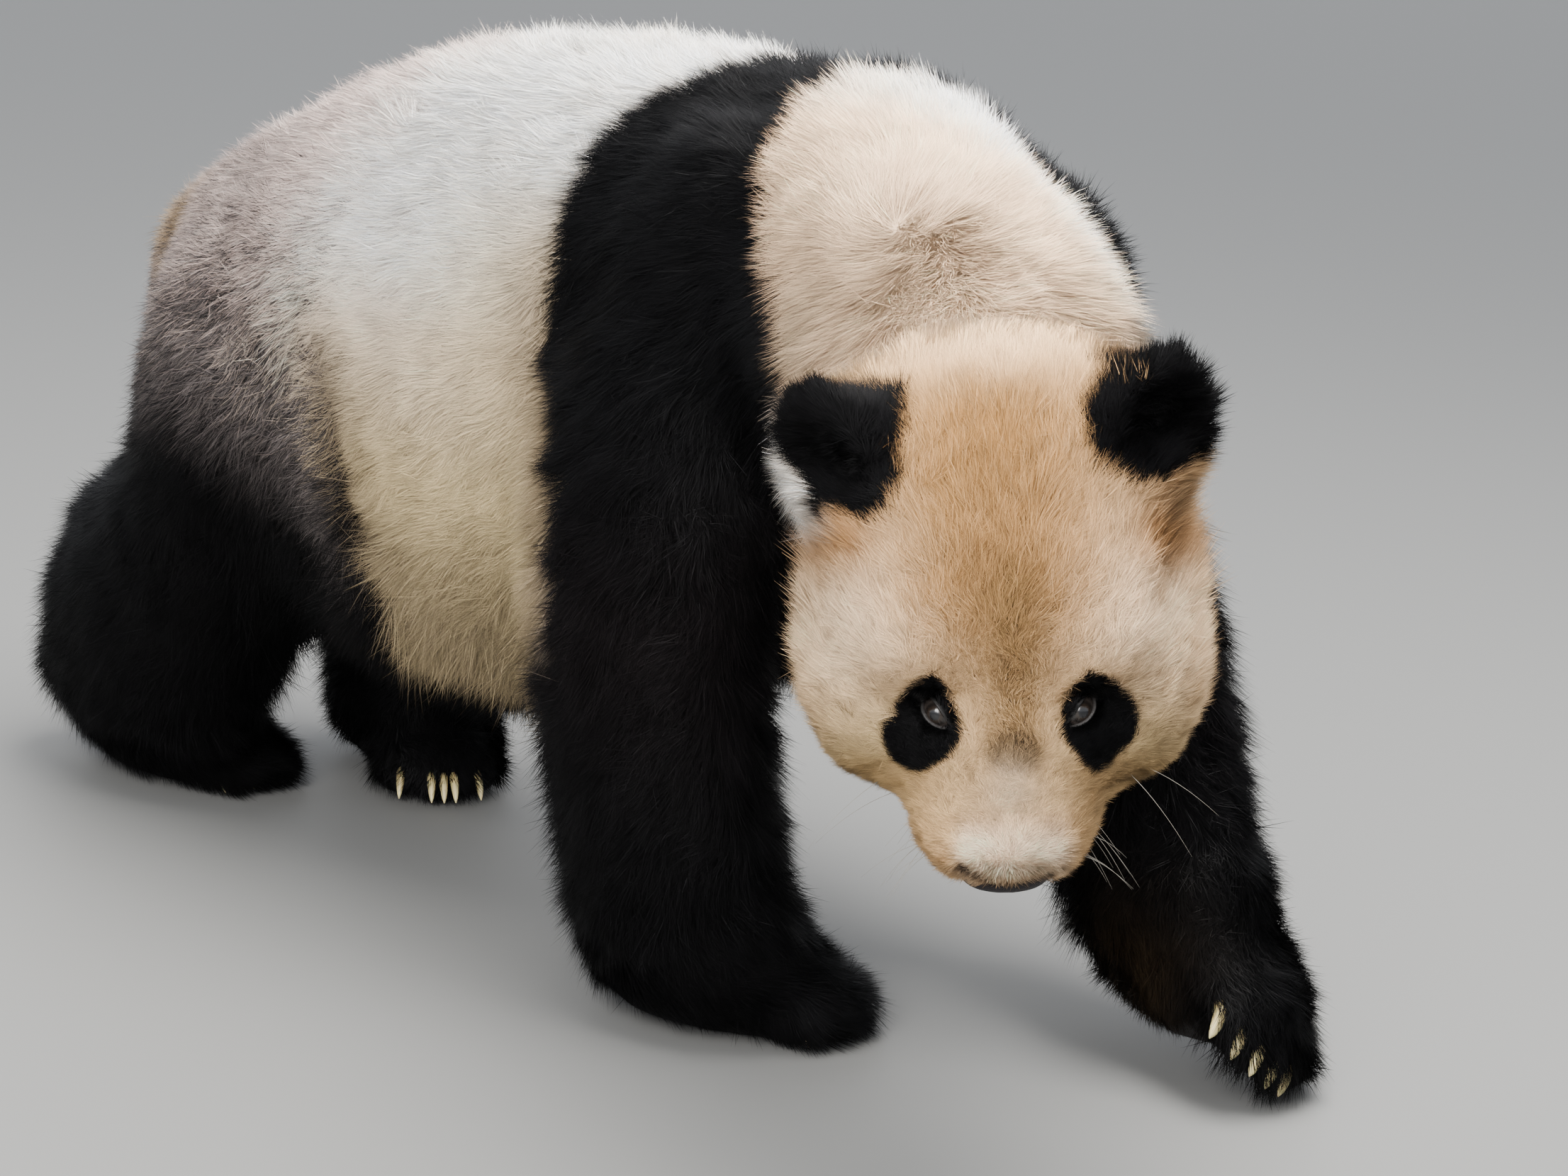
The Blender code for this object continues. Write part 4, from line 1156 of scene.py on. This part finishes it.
EYE = eye_finish()
for eye_name in EYE_SIDES:
    centre, axes = eye_frame(eye_name)
    points, faces = ball_grid(40, 64)
    off_axis = np.degrees(np.arccos(np.clip(points[:, 2], -1, 1)))
    bulge = 1 + 0.055 * step(34, 12, off_axis)
    pupil = np.hypot(points[:, 0] / 0.30, points[:, 1] / 0.26)
    paint = mixed(np.broadcast_to(IRIS, points.shape), IRIS_EDGE, step(24, 31, off_axis))
    paint = mixed(paint, PUPIL, step(1.05, 0.95, pupil) * (points[:, 2] > 0))
    paint = mixed(paint, EYE_WHITE, step(38, 44, off_axis))
    mesh = mesh_from_arrays(eye_name + "ball", points * EYE_RADIUS * bulge[:, None] @ axes + centre,
                            faces)
    set_attribute(mesh, "paint", "FLOAT_COLOR", with_alpha(paint))
    mesh.shade_smooth()
    mesh.materials.append(EYE)
    obj = new_object(eye_name + "ball", mesh)
    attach(obj, "root")
    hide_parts(eye_name)
    print(obj.name, "radius", EYE_RADIUS)

# %% [markdown]
# ## Nose
# The nose pad is a broad leathery wedge with a comma-shaped nostril on each side.  It is the same
# ball grid pressed into a rounded box, with the nostrils pushed in.
# %% Nose pad
NOSE_AT = (0.0, -0.0150, -0.014)
NOSE_HALF = (0.0335, 0.0200, 0.0180)


def nose_finish():
    """Moist pebbled leather."""
    mat, tree, shader = finish("nose leather", {"Specular IOR Level": 0.18})
    place = node(tree, "ShaderNodeTexCoord")[3]
    pebbles = node(tree, "ShaderNodeTexVoronoi", {"feature": "SMOOTH_F1"},
                   {"Vector": place, "Scale": 900.0, "Smoothness": 0.4})[0]
    blotch = node(tree, "ShaderNodeTexNoise", None, {"Vector": place, "Scale": 90.0,
                                                     "Detail": 3.0})[0]
    colour = node(tree, "ShaderNodeMix", {"data_type": "RGBA"},
                  {0: blotch, 6: (0.007, 0.006, 0.007, 1), 7: (0.020, 0.016, 0.017, 1)})[2]
    relief = node(tree, "ShaderNodeBump", None, {"Height": pebbles, "Strength": 0.6,
                                                 "Distance": 0.0008})[0]
    feed(tree, shader, "Base Color", colour)
    feed(tree, shader, "Roughness", 0.46 + blotch * 0.2)
    feed(tree, shader, "Normal", relief)
    return mat


points, faces = ball_grid(64, 96)
rounded = np.sign(points) * np.abs(points) ** 0.86
local = rounded * NOSE_HALF
left, ahead, rise = local.T
for side in (-1, 1):
    hole = np.hypot((left - side * 0.0125) / 0.0062, (rise + 0.002) / 0.0045)
    slit = np.hypot((left - side * 0.0215) / 0.0070, (rise + 0.0045) / 0.0020)
    ahead = ahead - (0.0085 * step(1.25, 0.5, hole) + 0.004 * step(1.3, 0.5, slit)) * (ahead > 0)
ahead = ahead - 0.0022 * bump_at(left, 0.0016) * step(0.004, -0.004, rise) * (ahead > 0)
local = np.stack([left, ahead, rise], axis=1) + NOSE_AT
nose_places = np.array(NOSE_TIP) + (local * (1, -1, 1)) @ np.array(HEAD_TURN).T
nose_mesh = mesh_from_arrays("nose_pad", nose_places, faces[:, ::-1])
nose_mesh.shade_smooth()
nose_mesh.materials.append(nose_finish())
nose_obj = new_object("nose_pad", nose_mesh)
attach(nose_obj, "root")
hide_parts("nose")
print("nose pad", len(faces), "triangles")

# %% [markdown]
# ## Claws and whiskers
# A claw is a horn carried along a falling arc, thick at the root, flattened at the sides and
# bluntly pointed; a whisker is the same sweep, only long and thin.  Both are a ring carried along
# a path, all paths of a kind at once.
# %% Claws
def swept(paths, radii, sides, flatten=1.0):
    """Closed tubes: rings of `sides` points round each path (n, m, 3), radius (n, m) per station."""
    count, stations, _ = paths.shape
    tangent = unit(np.gradient(paths, axis=1))
    helper = np.where(np.abs(tangent[..., 2:3]) > 0.9, (1.0, 0, 0), (0, 0, 1.0))
    across = unit(np.cross(tangent, helper))
    upward = np.cross(across, tangent)
    angle = np.linspace(0, 2 * math.pi, sides, endpoint=False)[:, None]
    ring = (np.cos(angle) * across[:, :, None] * flatten + np.sin(angle) * upward[:, :, None])
    places = paths[:, :, None] + ring * radii[:, :, None, None]
    caps = np.stack([paths[:, 0], paths[:, -1]], axis=1)
    places = np.concatenate([places.reshape(count, -1, 3), caps], axis=1)
    row, col = np.meshgrid(np.arange(stations - 1), np.arange(sides), indexing="ij")
    a, b = row * sides + col, row * sides + (col + 1) % sides
    faces = np.concatenate([np.stack([a, a + sides, b + sides], -1).reshape(-1, 3),
                            np.stack([a, b + sides, b], -1).reshape(-1, 3)])
    k, n = np.arange(sides), (np.arange(sides) + 1) % sides
    start, end = stations * sides, stations * sides + 1
    top = (stations - 1) * sides
    faces = np.concatenate([faces, np.stack([np.full(sides, start), k, n], -1),
                            np.stack([np.full(sides, end), top + n, top + k], -1)])
    per = stations * sides + 2
    faces = (faces[None] + np.arange(count)[:, None, None] * per).reshape(-1, 3)
    return places.reshape(-1, 3), faces


def horn_finish():
    """Pale translucent horn, darker at the root, with fine growth lines."""
    mat, tree, shader = finish("claw horn", {"Specular IOR Level": 0.5, "Subsurface Weight": 0.15,
                                             "Subsurface Scale": 0.004})
    _, _, along = attribute(tree, "along")
    place = node(tree, "ShaderNodeTexCoord")[3]
    grain = node(tree, "ShaderNodeTexNoise", None, {"Vector": place, "Scale": 500.0,
                                                    "Detail": 3.0})[0]
    colour = node(tree, "ShaderNodeValToRGB",
                  {"stops": ((0.0, (0.14, 0.09, 0.04)), (0.35, (0.38, 0.29, 0.125)),
                             (1.0, (0.62, 0.53, 0.27)))}, {0: along + grain * 0.15})[0]
    relief = node(tree, "ShaderNodeBump", None, {"Height": grain, "Strength": 0.3,
                                                 "Distance": 0.0005})[0]
    feed(tree, shader, "Base Color", colour)
    feed(tree, shader, "Roughness", 0.34 + grain * 0.15)
    feed(tree, shader, "Normal", relief)
    return mat


HORN = horn_finish()
CLAW_STATIONS = 12
for name, paw in PAWS.items():
    matrix = np.array(paw_matrix(paw))
    toe = np.array(paw["toes"], float)[:, None]
    t = np.linspace(0, 1, CLAW_STATIONS)[None, :]
    sideways = 0.026 * toe * paw["size"] * (0.96 + 0.12 * t)
    ahead = (0.072 - 0.006 * toe ** 2) * paw["size"] + 0.006 - paw["back"] + 0.040 * paw["claws"] * t
    height = 0.0235 - 0.3 * paw["back"] + 0.003 * np.sin(math.pi * t) - 0.017 * t ** 2 + 0 * toe
    local = np.stack([sideways, -ahead, height], axis=2)
    paths = local @ matrix[:3, :3].T + matrix[:3, 3]
    paths[..., 2] = np.maximum(paths[..., 2], 0.0045)
    radii = 0.0040 * paw["thick"] * (1 - t ** 2.8) ** 0.7 * np.ones_like(toe) + 0.0006
    places, faces = swept(paths, radii, 14, flatten=0.72)
    mesh = mesh_from_arrays("claws_" + name, places, faces)
    run = np.repeat(np.linspace(0, 1, CLAW_STATIONS), 14)
    set_attribute(mesh, "along", "FLOAT", np.tile(np.concatenate([run, [0, 1]]), 5))
    mesh.shade_smooth()
    mesh.materials.append(HORN)
    obj = new_object("claws_" + name, mesh)
    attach(obj, "root")
    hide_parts(*(f"claw_{name}_{k}" for k in range(1, 6)))
    print(obj.name, len(faces), "triangles")

# %% [markdown]
# ## Whiskers
# Stiff single hairs, a little thicker than real ones so that they hold as solids.  They spring
# from both sides of the muzzle and bend forward; the longest stand on the cheeks.
# %% Whiskers
WHISKERS = 26
WHISKER_RADIUS = 0.00024
CHEEK_ROOTS = ((-0.088, -0.075, 0.0), (0.088, -0.078, 0.008), (-0.080, -0.066, -0.01),
               (0.094, -0.085, 0.0))
CHEEK_REACH = 0.060


def whisker_finish():
    """Stiff pale hair."""
    mat, tree, shader = finish("whisker", {"Roughness": 0.4})
    place = node(tree, "ShaderNodeTexCoord")[3]
    tint = node(tree, "ShaderNodeTexNoise", None, {"Vector": place, "Scale": 80.0})[0]
    colour = node(tree, "ShaderNodeMix", {"data_type": "RGBA"},
                  {0: tint, 6: (0.10, 0.09, 0.075, 1), 7: (0.28, 0.26, 0.22, 1)})[2]
    feed(tree, shader, "Base Color", colour)
    return mat


side = np.where(np.arange(WHISKERS) % 2, 1.0, -1.0)
start = np.stack([side * rng.uniform(0.044, 0.056, WHISKERS), rng.uniform(-0.060, -0.020, WHISKERS),
                  rng.uniform(-0.032, -0.004, WHISKERS)], axis=1)
lean = np.stack([side * rng.uniform(0.6, 1.1, WHISKERS), rng.uniform(0.0, 1.0, WHISKERS),
                 rng.uniform(-0.4, 0.3, WHISKERS)], axis=1)
t = np.linspace(0, 1, 9)[None, :, None]
reach = rng.uniform(0.025, 0.055, WHISKERS)[:, None, None]
start[:len(CHEEK_ROOTS)] = CHEEK_ROOTS
reach[:len(CHEEK_ROOTS)] = CHEEK_REACH
local = start[:, None] + unit(lean)[:, None] * reach * t + np.array([0, 0.016, -0.006]) * t ** 2
paths = np.array(NOSE_TIP) + (local * (1, -1, 1)) @ np.array(HEAD_TURN).T
radii = WHISKER_RADIUS * (1 - 0.75 * t[..., 0]) * np.ones((WHISKERS, 1))
places, faces = swept(paths, radii, 5)
whisker_mesh = mesh_from_arrays("whiskers", places, faces)
whisker_mesh.shade_smooth()
whisker_mesh.materials.append(whisker_finish())
whisker_obj = new_object("whiskers", whisker_mesh)
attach(whisker_obj, "root")
print("whiskers", len(faces), "triangles")

# %% [markdown]
# ## Floor and light
# A plain pale floor, a broad soft light from above, a dimmer one from the viewer's side, and an
# even glow from all round, as in a studio with white walls.
# %% Stage
def stage_floor():
    """Large plain floor."""
    mesh = bpy.data.meshes.new("floor")
    mesh.from_pydata([(-40, -40, 0), (40, -40, 0), (40, 40, 0), (-40, 40, 0)], [], [(0, 1, 2, 3)])
    mat, _, _ = finish("floor", {"Base Color": (0.135, 0.135, 0.130, 1), "Roughness": 0.6})
    mesh.materials.append(mat)
    new_object("floor", mesh)


def area_light(name, place, target, size, power, colour):
    """Square soft light that faces a target."""
    data = bpy.data.lights.new(name, "AREA")
    data.size = size
    data.energy = power
    data.color = colour
    lamp = bpy.data.objects.new(name, data)
    bpy.context.scene.collection.objects.link(lamp)
    lamp.location = place
    lamp.rotation_euler = (Vector(target) - Vector(place)).to_track_quat("-Z", "Y").to_euler()


stage_floor()
area_light("overhead", (0.3, -0.5, 3.2), (0, 0, 0.4), 2.4, 430, (1.0, 0.98, 0.95))
area_light("viewer_side", (-3.4, -1.9, 2.4), (0, 0, 0.5), 2.2, 345, (1.0, 0.98, 0.96))
world = bpy.data.worlds.new("studio")
world.use_nodes = True
world.node_tree.nodes["Background"].inputs["Color"].default_value = (0.92, 0.95, 1.0, 1)
world.node_tree.nodes["Background"].inputs["Strength"].default_value = 1.55
bpy.context.scene.world = world
print("lights and floor set")

# %% [markdown]
# ## Camera
# It stands at a person's chest height, some way off the animal's right front, looks a little
# down, and has a long lens.  Its place is counted from the body's origin, and its turn is given
# by where its right, its top and its line of sight point.
# %% Camera
CAMERA_PLACE = Vector((-2.38175, -2.32921, 1.13))
RIGHT = (0.68567, -0.72444, 0.07103)
UP = (0.13003, 0.21791, 0.96727)
AHEAD = (0.71621, 0.65399, -0.24362)
camera_data = bpy.data.cameras.new("camera")
camera_data.lens = 89.2
camera_data.sensor_width = 36
camera_data.clip_end = 100
camera = bpy.data.objects.new("camera", camera_data)
bpy.context.scene.collection.objects.link(camera)
turn = Matrix((RIGHT, UP, tuple(-v for v in AHEAD))).transposed().to_4x4()
camera.matrix_world = Matrix.Translation(ORIGIN + CAMERA_PLACE) @ turn
bpy.context.scene.camera = camera
print("camera at", [round(v, 3) for v in camera.matrix_world.translation])
